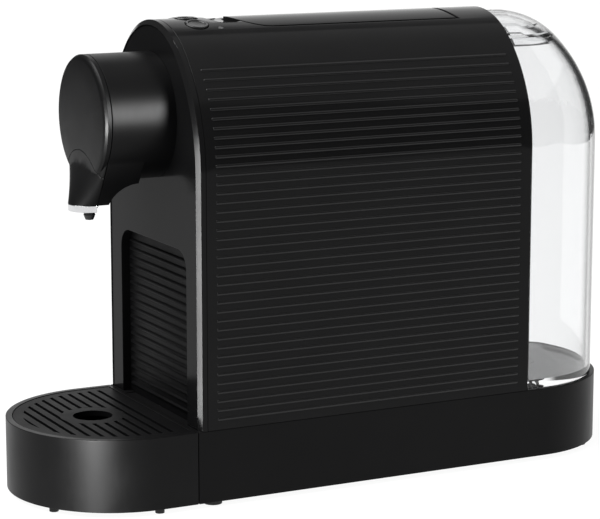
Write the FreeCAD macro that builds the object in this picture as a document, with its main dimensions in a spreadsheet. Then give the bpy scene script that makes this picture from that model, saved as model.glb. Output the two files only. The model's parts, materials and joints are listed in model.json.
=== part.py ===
import FreeCAD, Part
import math
import os
import re
import Sketcher
from FreeCAD import Placement, Rotation, Vector

# Slim pod coffee machine. +Z up, front towards -Y, origin under the middle of the base at floor level.
doc = FreeCAD.newDocument("pod_coffee_machine")
sheet = doc.addObject("Spreadsheet::Sheet", "sizes")
work = doc.addObject("Spreadsheet::Sheet", "work")

DRIVING = {"body_width": 136.0, "tank_depth": 82.5, "foot_height": 3.0, "base_height": 44.0,
    "spring_height": 153.3, "arch_rise": 85.0, "crown_radius": 56.0, "wall": 2.5, "front_setback": 92.0,
    "body_depth": 228.5, "gap": 0.3, "seam": 0.4, "running": 0.05, "bezel_depth": 5.5, "bezel_width": 3.0,
    "edge_round": 1.2, "panel_setback": 0.6, "panel_thickness": 3.0, "recess_width": 98.0,
    "recess_height": 105.0, "recess_corner": 12.0, "recess_depth": 5.0, "rib_pitch": 5.4,
    "rib_width": 1.8, "rib_proud": 0.6, "rib_first": 6.6, "rib_count": 39.0, "rib_front": 11.0,
    "rib_rear": 7.5, "bin_rib_proud": 1.2, "tray_rim": 4.0, "tray_floor": 3.0, "grid_thickness": 3.5,
    "grid_hole": 12.0, "grid_ring": 20.0, "slot_pitch": 6.8, "slot_width": 2.2, "slot_margin": 6.5,
    "nozzle_reach": 40.3, "tongue_thickness": 2.5, "bin_clear": 13.9, "bin_wall": 2.0, "bin_height": 84.0,
    "head_radius": 38.0, "head_reach": 40.0, "head_drop": 56.8, "cap_depth": 6.0, "seam_radius": 27.3,
    "seam_drop": 45.8, "spout_pinch": 0.1, "spout_radius": 12.7, "spout_drop": 51.0, "spout_skirt": 7.0,
    "spout_fillet": 16.0, "ring_height": 4.0, "nozzle_drop": 61.0, "duct_radius": 9.0,
    "outlet_radius": 6.0, "outlet_bore": 4.0, "drop_radius": 4.6, "drop_bore": 2.6, "lever_width": 44.0,
    "lever_nose": 51.0, "lever_tail": 32.5, "lever_skin": 3.0, "lever_gap": 1.0, "lever_rear_gap": 2.3,
    "lever_depth": 20.0, "pivot_ahead": 49.0, "pivot_depth": 14.5, "shaft_radius": 2.5, "fork_drop": 24.0,
    "fork_thickness": 4.0, "fork_place": 12.0, "fork_slot": 8.4, "pin_radius": 3.0, "lever_swing": 70.0,
    "scoop_front": 24.0, "scoop_depth": 2.6, "chassis_place": 23.5, "chassis_sheet": 2.5,
    "rail_sheet": 2.0, "rail_height": 12.0, "pod_radius": 19.0, "pod_length": 26.0, "cup_wall": 3.0,
    "injector_back": 99.5, "injector_length": 22.0, "button_radius": 7.0, "button_back": 24.0,
    "button_place": 16.0, "button_proud": 0.6, "button_depth": 5.0, "carrier_drop": 12.0,
    "light_radius": 1.6, "light_place": 22.0, "light_back": 37.0, "tank_inset": 2.7, "tank_wall": 2.8,
    "tank_floor": 5.0, "lid_height": 17.6, "lid_skirt": 6.0, "valve_behind": 29.0, "spout_pipe": 9.5,
    "valve_bore": 6.0, "valve_seat": 4.0, "dock_radius": 15.0, "dock_depth": 14.0, "hose_radius": 4.0,
    "hose_bore": 2.6, "hose_bend": 12.0, "meter_radius": 11.0, "meter_ahead": 15.0, "meter_height": 24.0,
    "pump_radius": 21.0, "pump_gap": 30.0, "pump_length": 72.0, "pump_rise": 30.0, "heater_length": 70.0,
    "heater_height": 57.0, "heater_rise": 71.0, "board_place": 42.5, "board_sheet": 1.6,
    "board_length": 75.0, "board_height": 75.0, "post_radius": 3.0, "foot_radius": 5.5,
    "tray_foot_radius": 2.8, "plate_sheet": 2.0, "screw_radius": 1.5, "boss_radius": 4.0,
    "gland_bore": 3.6, "gland_radius": 6.0, "gland_rise": 20.0,}
DERIVED = {"overall_depth": "front_setback + body_depth + tank_depth",
    "lever_rear": "body_depth - lever_tail", "half_width": "body_width / 2",
    "base_top": "foot_height + base_height", "spring": "base_top + spring_height",
    "crown": "spring + arch_rise", "crown_centre": "crown - crown_radius",
    "shoulder_rise": "arch_rise - crown_radius", "shoulder_run": "half_width - crown_radius",
    "side_radius": "(half_width^2 + shoulder_rise^2 - crown_radius^2) / (2 * shoulder_run)",
    "nose": "-overall_depth / 2", "body_front": "nose + front_setback",
    "body_rear": "body_front + body_depth", "front_centre": "nose + half_width",
    "rear_centre": "overall_depth / 2 - half_width", "base_front": "body_front - 0.5",
    "tray_rear": "base_front - seam", "shell_front": "body_front + bezel_depth",
    "panel_front": "body_front + panel_setback", "panel_rear": "panel_front + panel_thickness",
    "pump_back": "body_depth - meter_ahead - pump_gap - pump_length",
    "bin_depth": "pump_back - bin_clear - recess_depth - panel_setback",
    "bin_front": "panel_front + recess_depth", "bin_rear": "bin_front + bin_depth",
    "recess_half": "recess_width / 2", "tongue_top": "base_top - seam",
    "tongue_floor": "tongue_top - tongue_thickness", "tongue_half": "recess_half - 6",
    "head_axis": "crown - head_drop", "head_front": "body_front - head_reach",
    "nozzle_y": "body_front - nozzle_reach", "spout_bottom": "head_axis - spout_drop",
    "pivot_y": "body_rear - pivot_ahead", "pivot_z": "crown - pivot_depth",
    "pin_z": "pivot_z - fork_drop", "half_swing": "lever_swing / 2",
    "pin_y": "pivot_y + fork_drop * tan(half_swing * 1deg)",
    "injector_front": "body_front + injector_back", "cup_rear": "injector_front - 2",
    "cup_front": "cup_rear - pod_length", "plate_front": "cup_front - cup_wall - 1",
    "rail_low": "pin_z - rail_height / 2", "chassis_rear": "pivot_y + 25",
    "chassis_front": "bin_rear + 7", "tank_front": "body_rear + seam", "tank_bottom": "base_top + gap",
    "lid_seam": "crown - lid_height", "valve_y": "body_rear + valve_behind",
    "pump_y": "body_front + pump_back", "pump_z": "base_top + pump_rise",
    "heater_z": "base_top + heater_rise", "meter_y": "body_rear - meter_ahead",
    "button_y": "body_front + button_back",}
for row, (alias, value) in enumerate(DRIVING.items(), start=1):
    sheet.set(f"A{row}", alias.replace("_", " "))
    sheet.set(f"B{row}", str(value))
    sheet.setAlias(f"B{row}", alias)
for row, (alias, formula) in enumerate(DERIVED.items(), start=1):
    sheet.set(f"D{row}", alias.replace("_", " "))
    sheet.set(f"E{row}", "=" + formula)
    sheet.setAlias(f"E{row}", alias)
doc.recompute()
ALIASES = set(DRIVING) | set(DERIVED)
TURN = {"x": Rotation(Vector(0, 1, 0), 90), "y": Rotation(Vector(1, 0, 0), -90), "z": Rotation()}
nodes = {}


def cells(formula):
    """The formula with each size's alias named on the sheet."""
    return re.sub(r"[a-z_]+[a-z]", lambda word: "sizes." + word[0] if word[0] in ALIASES else word[0],
        str(formula))


def number(formula):
    """The formula's value with the sheet's present sizes."""
    work.set("A1", "=" + cells(formula))
    work.recompute()
    return float(work.get("A1"))


def bind(solid, place, formula):
    """Tie one property of an object to the sheet."""
    solid.setExpression(place, cells(formula))


def box(name, x, y, z):
    """A block between two formulas on each axis."""
    solid = doc.addObject("Part::Box", name)
    for size, axis, (low, high) in (("Length", "x", x), ("Width", "y", y), ("Height", "z", z)):
        bind(solid, size, f"({high}) - ({low})")
        bind(solid, f"Placement.Base.{axis}", low)
    return solid


def rod(name, axis, centre, radius, span):
    """A round bar along an axis between two formulas, its centre on the other two axes."""
    solid = doc.addObject("Part::Cylinder", name)
    solid.Placement = Placement(Vector(), TURN[axis])
    bind(solid, "Radius", radius)
    bind(solid, "Height", f"({span[1]}) - ({span[0]})")
    places = iter(centre)
    for letter in "xyz":
        bind(solid, f"Placement.Base.{letter}", span[0] if letter == axis else next(places))
    return solid


def cut(name, base, *tools):
    """The base less every tool."""
    for index, tool in enumerate(tools):
        result = doc.addObject("Part::Cut", name if index == len(tools) - 1 else f"{name}_cut{index}")
        result.Base = base
        result.Tool = tool
        base = result
    return base


def fuse(name, *solids):
    """One solid of all the pieces."""
    result = doc.addObject("Part::MultiFuse", name)
    result.Shapes = list(solids)
    result.Refine = True
    return result


def common(name, *solids):
    """What all the pieces share."""
    result = doc.addObject("Part::MultiCommon", name)
    result.Shapes = list(solids)
    return result


def group(name, *solids):
    """Separate solids of one node."""
    result = doc.addObject("Part::Compound", name)
    result.Links = list(solids)
    return result


def sketch_in(body, role, offset):
    """A sketch on one of the body's own planes, shifted along its normal."""
    sketch = body.newObject("Sketcher::SketchObject", body.Name + "_sketch")
    plane = [item for item in body.Origin.OriginFeatures if item.Role == role][0]
    sketch.AttachmentSupport = [(plane, "")]
    sketch.MapMode = "FlatFace"
    bind(sketch, "AttachmentOffset.Base.z", offset)
    return sketch


def hold(sketch, kind, *where, formula):
    """A sketch dimension tied to the sheet."""
    index = sketch.addConstraint(Sketcher.Constraint(kind, *where, number(formula)))
    bind(sketch, f"Constraints[{index}]", formula)


def outline(sketch, corners):
    """A closed run of straight lines through formula corners."""
    points = [Vector(number(across), number(along), 0) for across, along in corners]
    count = len(points)
    for index in range(count):
        sketch.addGeometry(Part.LineSegment(points[index], points[(index + 1) % count]))
    for index in range(count):
        sketch.addConstraint(Sketcher.Constraint("Coincident", index, 2, (index + 1) % count, 1))
    for index, (across, along) in enumerate(corners):
        hold(sketch, "DistanceX", -1, 1, index, 1, formula=across)
        hold(sketch, "DistanceY", -1, 1, index, 1, formula=along)


def pad(body, sketch, length):
    """The sketch raised along its normal."""
    feature = body.newObject("PartDesign::Pad", body.Name + "_pad")
    feature.Profile = sketch
    bind(feature, "Length", length)
    return body


def plate(name, role, corners, low, high):
    """A straight-edged plate between two formulas along its plane's normal."""
    body = doc.addObject("PartDesign::Body", name)
    sketch = sketch_in(body, role, f"-({high})" if role == "XZ_Plane" else low)
    outline(sketch, corners)
    return pad(body, sketch, f"({high}) - ({low})")


def arch_points(inset, foot):
    """Corner and mid points of the arch's right half, from its foot to the crown."""
    half = number(f"half_width - ({inset})")
    side = number(f"side_radius - ({inset})")
    top = number(f"crown_radius - ({inset})")
    spring, centre = number("spring"), number("crown_centre")
    lean = math.atan2(centre - spring, side - half)
    knee = Vector(half - side + side * math.cos(lean), spring + side * math.sin(lean), 0)
    haunch = Vector(half - side + side * math.cos(lean / 2), spring + side * math.sin(lean / 2), 0)
    rise = (lean + math.pi / 2) / 2
    shoulder = Vector(top * math.cos(rise), centre + top * math.sin(rise), 0)
    return Vector(half, number(foot), 0), Vector(half, spring, 0), haunch, knee, shoulder, Vector(0,
        centre + top, 0)


def mirrored(point):
    """The point on the other side of the middle."""
    return Vector(-point.x, point.y, 0)


def hold_arch(sketch, inset, side_arc, top_arc):
    """The arch's two radii and centres tied to the sheet."""
    hold(sketch, "Radius", side_arc, formula=f"side_radius - ({inset})")
    hold(sketch, "Radius", top_arc, formula=f"crown_radius - ({inset})")
    hold(sketch, "DistanceY", -1, 1, top_arc, 3, formula="crown_centre")
    hold(sketch, "DistanceY", -1, 1, side_arc, 3, formula="spring")


def arch(name, inset, y, foot):
    """A block with the body's arched section, set in from it by the inset."""
    body = doc.addObject("PartDesign::Body", name)
    sketch = sketch_in(body, "XZ_Plane", f"-({y[1]})")
    base, spring, haunch, knee, shoulder, top = arch_points(inset, foot)
    sketch.addGeometry(Part.LineSegment(mirrored(base), base))
    sketch.addGeometry(Part.LineSegment(base, spring))
    sketch.addGeometry(Part.Arc(spring, haunch, knee))
    sketch.addGeometry(Part.Arc(knee, top, mirrored(knee)))
    sketch.addGeometry(Part.Arc(mirrored(knee), mirrored(haunch), mirrored(spring)))
    sketch.addGeometry(Part.LineSegment(mirrored(spring), mirrored(base)))
    for first, second in ((0, 1), (5, 0)):
        sketch.addConstraint(Sketcher.Constraint("Coincident", first, 2, second, 1))
    for first, end, second, start in ((1, 2, 2, 1), (2, 2, 3, 1), (3, 2, 4, 1), (4, 2, 5, 1)):
        sketch.addConstraint(Sketcher.Constraint("Tangent", first, end, second, start))
    sketch.addConstraint(Sketcher.Constraint("Symmetric", 0, 1, 0, 2, -2))
    sketch.addConstraint(Sketcher.Constraint("Symmetric", 1, 2, 5, 1, -2))
    hold(sketch, "DistanceX", 0, 1, 0, 2, formula=f"body_width - 2 * ({inset})")
    hold(sketch, "DistanceY", -1, 1, 0, 1, formula=foot)
    hold_arch(sketch, inset, 2, 3)
    return pad(body, sketch, f"({y[1]}) - ({y[0]})")


def dome(name, inset, foot):
    """Half a turn of the arch about the tank's upright axis."""
    body = doc.addObject("PartDesign::Body", name)
    sketch = sketch_in(body, "XZ_Plane", "0")
    base, spring, haunch, knee, shoulder, top = arch_points(inset, foot)
    sketch.addGeometry(Part.LineSegment(Vector(0, base.y, 0), base))
    sketch.addGeometry(Part.LineSegment(base, spring))
    sketch.addGeometry(Part.Arc(spring, haunch, knee))
    sketch.addGeometry(Part.Arc(knee, shoulder, top))
    sketch.addGeometry(Part.LineSegment(top, Vector(0, base.y, 0)))
    for first, second in ((0, 1), (3, 4), (4, 0)):
        sketch.addConstraint(Sketcher.Constraint("Coincident", first, 2, second, 1))
    for first, second in ((1, 2), (2, 3)):
        sketch.addConstraint(Sketcher.Constraint("Tangent", first, 2, second, 1))
    sketch.addConstraint(Sketcher.Constraint("Horizontal", 0))
    sketch.addConstraint(Sketcher.Constraint("Vertical", 1))
    hold(sketch, "DistanceX", -1, 1, 0, 1, formula="0")
    hold(sketch, "DistanceX", -1, 1, 4, 1, formula="0")
    hold(sketch, "DistanceY", -1, 1, 0, 1, formula=foot)
    hold(sketch, "DistanceX", -1, 1, 1, 1, formula=f"half_width - ({inset})")
    hold_arch(sketch, inset, 2, 3)
    turn = body.newObject("PartDesign::Revolution", name + "_turn")
    turn.Profile = sketch
    turn.ReferenceAxis = (sketch, ["V_Axis"])
    turn.Angle = 180
    bind(body, "Placement.Base.y", "rear_centre")
    return body


def rounded_block(name, inset, centre, flat, z):
    """Half a stadium: a half round of the body's width at one end, cut straight at the other."""
    disc = rod(name + "_disc", "z", ("0", centre), f"half_width - ({inset})", z)
    half = f"half_width - ({inset})"
    span = (centre, flat) if number(flat) > number(centre) else (flat, centre)
    block = box(name + "_run", (f"-({half})", half), span, z)
    far = ("2 * nose", flat) if number(flat) > number(centre) else (flat, "-2 * nose")
    return common(name, fuse(name + "_whole", disc, block), box(name + "_keep", ("nose", "-nose"), far,
        z))


def turned(name, corners, place=("0", "0", "0"), turn=Rotation()):
    """A turned piece: corners are radius and height, about its own upright axis."""
    body = doc.addObject("PartDesign::Body", name)
    sketch = sketch_in(body, "XZ_Plane", "0")
    outline(sketch, corners)
    feature = body.newObject("PartDesign::Revolution", name + "_turn")
    feature.Profile = sketch
    feature.ReferenceAxis = (sketch, ["V_Axis"])
    feature.Angle = 360
    body.Placement = Placement(Vector(), turn)
    for letter, formula in zip("xyz", place):
        bind(body, f"Placement.Base.{letter}", formula)
    return body


def hose(name, *points):
    """A hose along straight runs joined by one bend radius, in the machine's middle plane."""
    spots = [Vector(0, number(y), number(z)) for y, z in points]
    bend, edges, start = number("hose_bend"), [], spots[0]
    for before, corner, after in zip(spots, spots[1:], spots[2:]):
        into, out = (corner - before).normalize(), (after - corner).normalize()
        first, last = corner - into * bend, corner + out * bend
        middle = corner + (out - into) * bend * (1 - math.sqrt(0.5))
        edges += [Part.LineSegment(start, first).toShape(), Part.Arc(first, middle, last).toShape()]
        start = last
    edges.append(Part.LineSegment(start, spots[-1]).toShape())
    path = Part.Wire(edges)
    along = (spots[1] - spots[0]).normalize()
    walls = []
    for radius in (number("hose_radius"), number("hose_bore")):
        ring = Part.Wire(Part.makeCircle(radius, spots[0], along))
        walls.append(path.makePipeShell([ring], True, False))
    solid = doc.addObject("Part::Feature", name)
    solid.Shape = walls[0].cut(walls[1])
    return solid


def node(name, solid):
    """Name a finished sub-part."""
    solid.Label = name
    nodes[name] = solid


# Base: a half-stadium tub with a deck, a cover below, feet, and the inlet for the mains lead.
tub = rounded_block("tub_outer", "0", "rear_centre", "base_front", ("foot_height", "base_top"))
tub_space = rounded_block("tub_space", "wall", "rear_centre", "base_front + wall",
    ("foot_height", "base_top - wall"))
channel = box("channel", ("-tongue_half - seam", "tongue_half + seam"),
    ("base_front - 1", "bin_rear + 2"), ("tongue_floor - gap", "base_top + 1"))
trough = box("trough", ("-tongue_half - 3", "tongue_half + 3"), ("base_front", "bin_rear + 4"),
             ("tongue_floor - gap - wall", "base_top"))
BOSSES = [("-half_width + 14", "base_front + 32"), ("half_width - 14", "base_front + 32"),
          ("-half_width + 25", "rear_centre + 30"), ("half_width - 25", "rear_centre + 30")]
FEET = [("-half_width + 9", "base_front + 13"), ("half_width - 9", "base_front + 13"),
        ("-half_width + 24", "rear_centre + 40"), ("half_width - 24", "rear_centre + 40")]
bosses = [rod(f"boss{i}", "z", spot, "boss_radius", ("foot_height + plate_sheet", "base_top - wall"))
          for i, spot in enumerate(BOSSES)]
pilots = [rod(f"pilot{i}", "z", spot, "screw_radius + running", ("foot_height", "foot_height + 16"))
          for i, spot in enumerate(BOSSES)]
dock_hole = rod("dock_hole", "z", ("0", "valve_y"), "dock_radius + gap",
    ("foot_height + 8", "base_top + 1"))
feed_hole = rod("feed_hole", "z", ("0", "meter_y"), "hose_radius + gap",
    ("foot_height + 8", "base_top + 1"))
gland_hole = rod("gland_hole", "y", ("0", "foot_height + gland_rise"), "gland_radius + running",
    ("rear_centre", "-nose + 1"))
tub_body = fuse("tub_body", cut("tub_shell", tub, tub_space), trough, *bosses)
node("base_tub", cut("base_tub", tub_body, channel, dock_hole, feed_hole, gland_hole, *pilots))
cover = rounded_block("cover", "wall + gap", "rear_centre", "base_front + wall + gap",
    ("foot_height", "foot_height + plate_sheet"))
node("base_cover", cut("base_cover", cover, *[rod(f"cover_hole{i}", "z", spot, "screw_radius + running",
    ("0", "base_top")) for i, spot in enumerate(BOSSES)]))
shanks = [rod(f"shank{i}", "z", spot, "screw_radius", ("foot_height - 1.5", "foot_height + 14")) for i,
    spot in enumerate(BOSSES)]
caps = [rod(f"screw_cap{i}", "z", spot, "2 * screw_radius", ("foot_height - 1.5", "foot_height")) for i,
    spot in enumerate(BOSSES)]
node("base_screws", group("base_screws", *[fuse(f"screw{i}", shank, cap) for i,
    (shank, cap) in enumerate(zip(shanks, caps))]))
node("rubber_feet", group("rubber_feet", *[rod(f"foot{i}", "z", spot, "foot_radius", ("0", "foot_height"))
    for i, spot in enumerate(FEET)]))
node("cord_gland", turned("cord_gland", [("gland_bore", "0"), ("gland_radius + 2", "0"),
    ("gland_radius + 2", "3"), ("gland_radius", "3"), ("gland_radius", "3.9 + wall"),
    ("gland_bore", "3.9 + wall")], ("0", "-nose - wall - 4.2", "foot_height + gland_rise"), TURN["y"]))

# Drip tray with the tongue that carries the used-pod bin.
tray_outer = rounded_block("tray_outer", "0", "front_centre", "tray_rear", ("foot_height", "base_top"))
tray_space = rounded_block("tray_space", "tray_rim + 2", "front_centre", "tray_rear - wall",
    ("foot_height + tray_floor", "base_top + 1"))
tray_seat = rounded_block("tray_seat", "tray_rim", "front_centre", "tray_rear - wall",
                          ("base_top - grid_thickness - gap", "base_top + 1"))
tongue = box("tongue", ("-tongue_half", "tongue_half"), ("tray_rear - wall", "bin_rear"),
    ("tongue_floor", "tongue_top"))
node("drip_tray", fuse("drip_tray", cut("tray_bowl", tray_outer, tray_space, tray_seat), tongue))
TRAY_FEET = [(f"{side} * (half_width - 5) * cos({angle} * 1deg)",
    f"front_centre - (half_width - 5) * sin({angle} * 1deg)") for side in (-1, 1) for angle in (0, 60)]
node("tray_feet", group("tray_feet", *[rod(f"tray_foot{i}", "z", spot, "tray_foot_radius",
    ("0", "foot_height")) for i, spot in enumerate(TRAY_FEET)]))
GRID = ("base_top - grid_thickness - gap", "base_top - gap")
grid = rounded_block("grid_plate", "tray_rim + gap", "front_centre", "tray_rear - wall - gap", GRID)
slot_zone = cut("slot_zone", rounded_block("slot_field", "tray_rim + slot_margin", "front_centre",
    "tray_rear - wall - 6", ("base_top - 10", "base_top + 1")),
    rod("grid_ring", "z", ("0", "nozzle_y"), "grid_ring", ("base_top - 11", "base_top + 2")))
slots = [box(f"slot{step}", ("-half_width", "half_width"),
    (f"nozzle_y + {step} * slot_pitch - slot_width / 2",
    f"nozzle_y + {step} * slot_pitch + slot_width / 2"), ("base_top - 10", "base_top + 1"))
    for step in range(-6, 5)]
node("drip_grid", cut("drip_grid", grid, common("grid_slots", slot_zone, fuse("slot_bars", *slots)),
    rod("grid_drain", "z", ("0", "nozzle_y"), "grid_hole", ("base_top - 10", "base_top + 1"))))
RECESS_TOP = "base_top + recess_height"


def door(name, inset, y, foot):
    """The recess outline: straight sides, rounded top corners."""
    half, top = f"recess_half - ({inset})", f"{RECESS_TOP} - ({inset})"
    low = box(name + "_low", (f"-({half})", half), y, (foot, f"{top} - recess_corner"))
    high = box(name + "_high", (f"-({half}) + recess_corner", f"{half} - recess_corner"), y, (foot, top))
    rounds = [rod(f"{name}_round{i}", "y", (f"{i} * ({half} - recess_corner)", f"{top} - recess_corner"),
        "recess_corner", y) for i in (-1, 1)]
    return fuse(name, low, high, *rounds)


bin_face = door("bin_face", "seam", ("bin_front", "bin_front + bin_wall"), "base_top + gap")
bin_ribs = [box(f"bin_rib{i}", ("-recess_half + 2", "recess_half - 2"),
    ("bin_front - bin_rib_proud", "bin_front"), (f"base_top + 3 + {i} * rib_pitch",
    f"base_top + 3 + {i} * rib_pitch + rib_width")) for i in range(18)]
bin_box = box("bin_box", ("-tongue_half", "tongue_half"), ("bin_front", "bin_rear"),
    ("tongue_top", "tongue_top + bin_height"))
bin_space = box("bin_space", ("-tongue_half + bin_wall", "tongue_half - bin_wall"),
    ("bin_front + bin_wall", "bin_rear - bin_wall"), ("tongue_top + bin_wall",
    "tongue_top + bin_height + 60"))
node("pod_bin", fuse("pod_bin", cut("bin_body", bin_box, bin_space), bin_face, *bin_ribs))

# Arched body: ribbed shell, front bezel, front panel with the recess collar, rear panel.
LEVER_NOSE, LEVER_END = "body_front + lever_nose", "body_front + lever_rear"


def tongue_plan(name, grow, rear, z):
    """The lever's plan: a half-round nose and a hollow rear edge, grown by a margin."""
    half = f"lever_width / 2 + ({grow})"
    nose_disc = rod(name + "_nose", "z", ("0", f"{LEVER_NOSE} + lever_width / 2"), half, z)
    run = box(name + "_run", (f"-({half})", half), (f"{LEVER_NOSE} + lever_width / 2",
        f"{LEVER_END} + 6 + ({rear})"), z)
    bulge = rod(name + "_bulge", "z", ("0", f"{LEVER_END} + ({rear}) + 1.5 * lever_width"),
        "1.5 * lever_width", z)
    return cut(name, fuse(name + "_whole", nose_disc, run), bulge)


def ribs():
    """Flat bars round the arch at an even pitch, trimmed to the ribbed field."""
    proud = arch("rib_skin", "-rib_proud", ("shell_front + rib_front - 5", "body_rear - rib_rear"),
        "base_top")
    bars = [box(f"rib{i}", ("-body_width", "body_width"), ("shell_front + rib_front - 5",
        "body_rear - rib_rear"), (f"base_top + rib_first + {i} * rib_pitch - rib_width / 2",
        f"base_top + rib_first + {i} * rib_pitch + rib_width / 2"))
        for i in range(int(number("rib_count")))]
    return common("side_ribs", proud, group("rib_bars", *bars))


SHELL_Y = ("shell_front", "body_rear")
shell_space = arch("shell_space", "wall", ("shell_front - 1", "body_rear + 1"), "base_top - 1")
scoop_pad = common("scoop_pad", arch("scoop_block", "0", (f"{LEVER_NOSE} - scoop_front",
    f"{LEVER_NOSE} + 8"), "crown - 30"), box("scoop_zone", ("-lever_width / 2 - 4",
    "lever_width / 2 + 4"), SHELL_Y, ("crown - 12", "crown + 1")))
scoop = doc.addObject("Part::Cylinder", "scoop")
scoop.Placement = Placement(Vector(), TURN["x"])
bind(scoop, "Radius", "scoop_front^2 / (8 * scoop_depth) + scoop_depth / 2")
bind(scoop, "Height", "0.7 * lever_width")
bind(scoop, "Placement.Base.x", "-0.35 * lever_width")
bind(scoop, "Placement.Base.y", f"{LEVER_NOSE} - 4")
bind(scoop, "Placement.Base.z",
    "crown - scoop_depth + scoop_front^2 / (8 * scoop_depth) + scoop_depth / 2")
lever_hole = tongue_plan("lever_hole", "lever_gap", "lever_rear_gap", ("crown - 25", "crown + 2"))
button_tilts = {f"{side}": f"asin({place} * button_place / crown_radius)" for side,
    place in (("left", -1), ("middle", 0), ("right", 1))}


def on_crown(solid, tilt, y, depth):
    """Stand a piece square on the crown at a tilt, its own top at the given depth under the skin."""
    bind(solid, "Placement.Base.x", f"(crown_radius - ({depth})) * sin({tilt})")
    bind(solid, "Placement.Base.y", y)
    bind(solid, "Placement.Base.z", f"crown_centre + (crown_radius - ({depth})) * cos({tilt})")
    bind(solid, "Placement.Rotation.Axis.y", "1")
    bind(solid, "Placement.Rotation.Axis.z", "0")
    bind(solid, "Placement.Rotation.Angle", tilt)
    return solid


def peg(name, tilt, y, radius, low, high):
    """A round piece square to the crown between two depths under the skin."""
    solid = doc.addObject("Part::Cylinder", name)
    bind(solid, "Radius", radius)
    bind(solid, "Height", f"({low}) - ({high})")
    return on_crown(solid, tilt, y, low)


LIGHT_TILT, LIGHT_Y = "asin(light_place / crown_radius)", "body_front + light_back"
button_holes = [peg(f"button_hole_{side}", tilt, "button_y", "button_radius + gap", "carrier_drop", "-2")
                for side, tilt in button_tilts.items()]
light_hole = peg("light_hole", LIGHT_TILT, LIGHT_Y, "light_radius + running", "carrier_drop", "-2")
shell_block = fuse("shell_block", cut("shell_ring", arch("shell_outer", "0", SHELL_Y, "base_top"),
    shell_space), cut("rib_ring", ribs(), shell_space), cut("scoop_solid", scoop_pad,
    arch("scoop_under", "2.5 * wall", SHELL_Y, "crown - 40")))
node("main_shell", cut("main_shell", shell_block, scoop, lever_hole, light_hole, *button_holes))
front, outer = number("body_front"), number("half_width")


def is_rim(edge):
    """True for the long edges round the front of the rim's outer outline."""
    extent = edge.BoundBox
    outside = max(-extent.XMin, extent.XMax) > outer - 0.1 or extent.ZMax > number("crown") - 1
    at_front = abs(edge.CenterOfMass.y - front) < 0.01
    return at_front and edge.Length > 40 and (outside or extent.XLength > 2 * outer - 20)


bezel = cut("bezel_ring", arch("bezel_outer", "0", ("body_front", "shell_front - gap"), "base_top"),
            arch("bezel_space", "bezel_width", ("body_front - 1", "shell_front + 1"), "base_top - 1"))
doc.recompute()
bezel_edge = doc.addObject("Part::Fillet", "front_bezel")
bezel_edge.Base = bezel
rounding = number("edge_round")
bezel_edge.Edges = [(i, rounding, rounding) for i, edge in enumerate(bezel.Shape.Edges, start=1)
    if is_rim(edge)]
node("front_bezel", bezel_edge)
panel = arch("panel_block", "bezel_width + gap", ("panel_front", "panel_rear"), "base_top")
collar = door("collar", "-2", ("panel_front", "bin_front + 6"), "base_top")
doorway = door("doorway", "0", ("panel_front - 1", "bin_front + 7"), "base_top - 1")
node("front_panel", cut("front_panel", fuse("panel_body", panel, collar), doorway,
    rod("panel_hole", "y", ("0", "head_axis"), "outlet_radius + 1",
    ("panel_front - 1", "panel_rear + 1"))))
node("rear_panel", arch("rear_panel", "wall + gap", ("body_rear - 3", "body_rear - 0.5"), "base_top"))

# Brew head: sleeve with its spout skirt, domed cap, spout cover, bright half ring, duct and nozzle.
SEAM_Z = "head_axis - seam_drop"
tube = cut("head_tube", rod("head_outer", "y", ("0", "head_axis"), "head_radius",
    ("head_front", "panel_front")), rod("head_bore", "y", ("0", "head_axis"), "head_radius - wall",
    ("head_front - 1", "panel_front + 1")))


def spout_width(share):
    """Half width of the spout, from its bottom (0) up to the head's axis (1)."""
    low, high = number("spout_radius"), number("head_radius")
    flare = math.sin(share * math.pi / 2) ** 1.15
    return (low + (high - low) * flare) * (1 - number("spout_pinch") * share ** 2)


def spout_loft(name, depth_low, depth_high, back):
    """The spout's body: half ovals in plan, from the bright ring up to the head's axis."""
    bottom, axis, seam_y = number("spout_bottom"), number("head_axis"), number("head_front") + back
    rings = []
    for share in (0.0, 0.31, 0.62):
        width, z = spout_width(share), bottom + (axis - bottom) * share
        depth = depth_low + (depth_high - depth_low) * share / 0.62
        middle = Vector(0, seam_y, z)
        right, left, tip = Vector(width, seam_y, z), Vector(-width, seam_y, z), Vector(0, seam_y - depth,
            z)
        oval = Part.Ellipse(right, tip, middle)
        start, end = sorted((oval.parameter(right), oval.parameter(left)))
        halves = [Part.ArcOfEllipse(oval, start, end), Part.ArcOfEllipse(oval, end, start + 2 * math.pi)]
        front = min(halves, key=lambda half: half.value((half.FirstParameter + half.LastParameter) / 2).y)
        rings.append(Part.Wire([front.toShape(), Part.LineSegment(front.EndPoint,
            front.StartPoint).toShape()]))
    solid = doc.addObject("Part::Feature", name)
    solid.Shape = Part.makeLoft(rings, True, False)
    return solid


def skirt_block(name, inset, y):
    """The spout's outline seen from the front, raised along the head."""
    steps = [0.15 * k for k in range(6)]
    bottom, axis = number("spout_bottom"), number("head_axis")
    right = [Vector(spout_width(step) - inset, number(y[0]), bottom + (axis - bottom) * step)
        for step in steps]
    left = [Vector(-point.x, point.y, point.z) for point in reversed(right)]
    sides = []
    for points in (right, left):
        spline = Part.BSplineCurve()
        spline.interpolate(points)
        sides.append(spline.toShape())
    wire = Part.Wire([sides[0], Part.LineSegment(right[-1], left[0]).toShape(), sides[1],
                      Part.LineSegment(left[-1], right[0]).toShape()])
    solid = doc.addObject("Part::Feature", name)
    solid.Shape = Part.Face(wire).extrude(Vector(0, number(y[1]) - number(y[0]), 0))
    return solid


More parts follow.
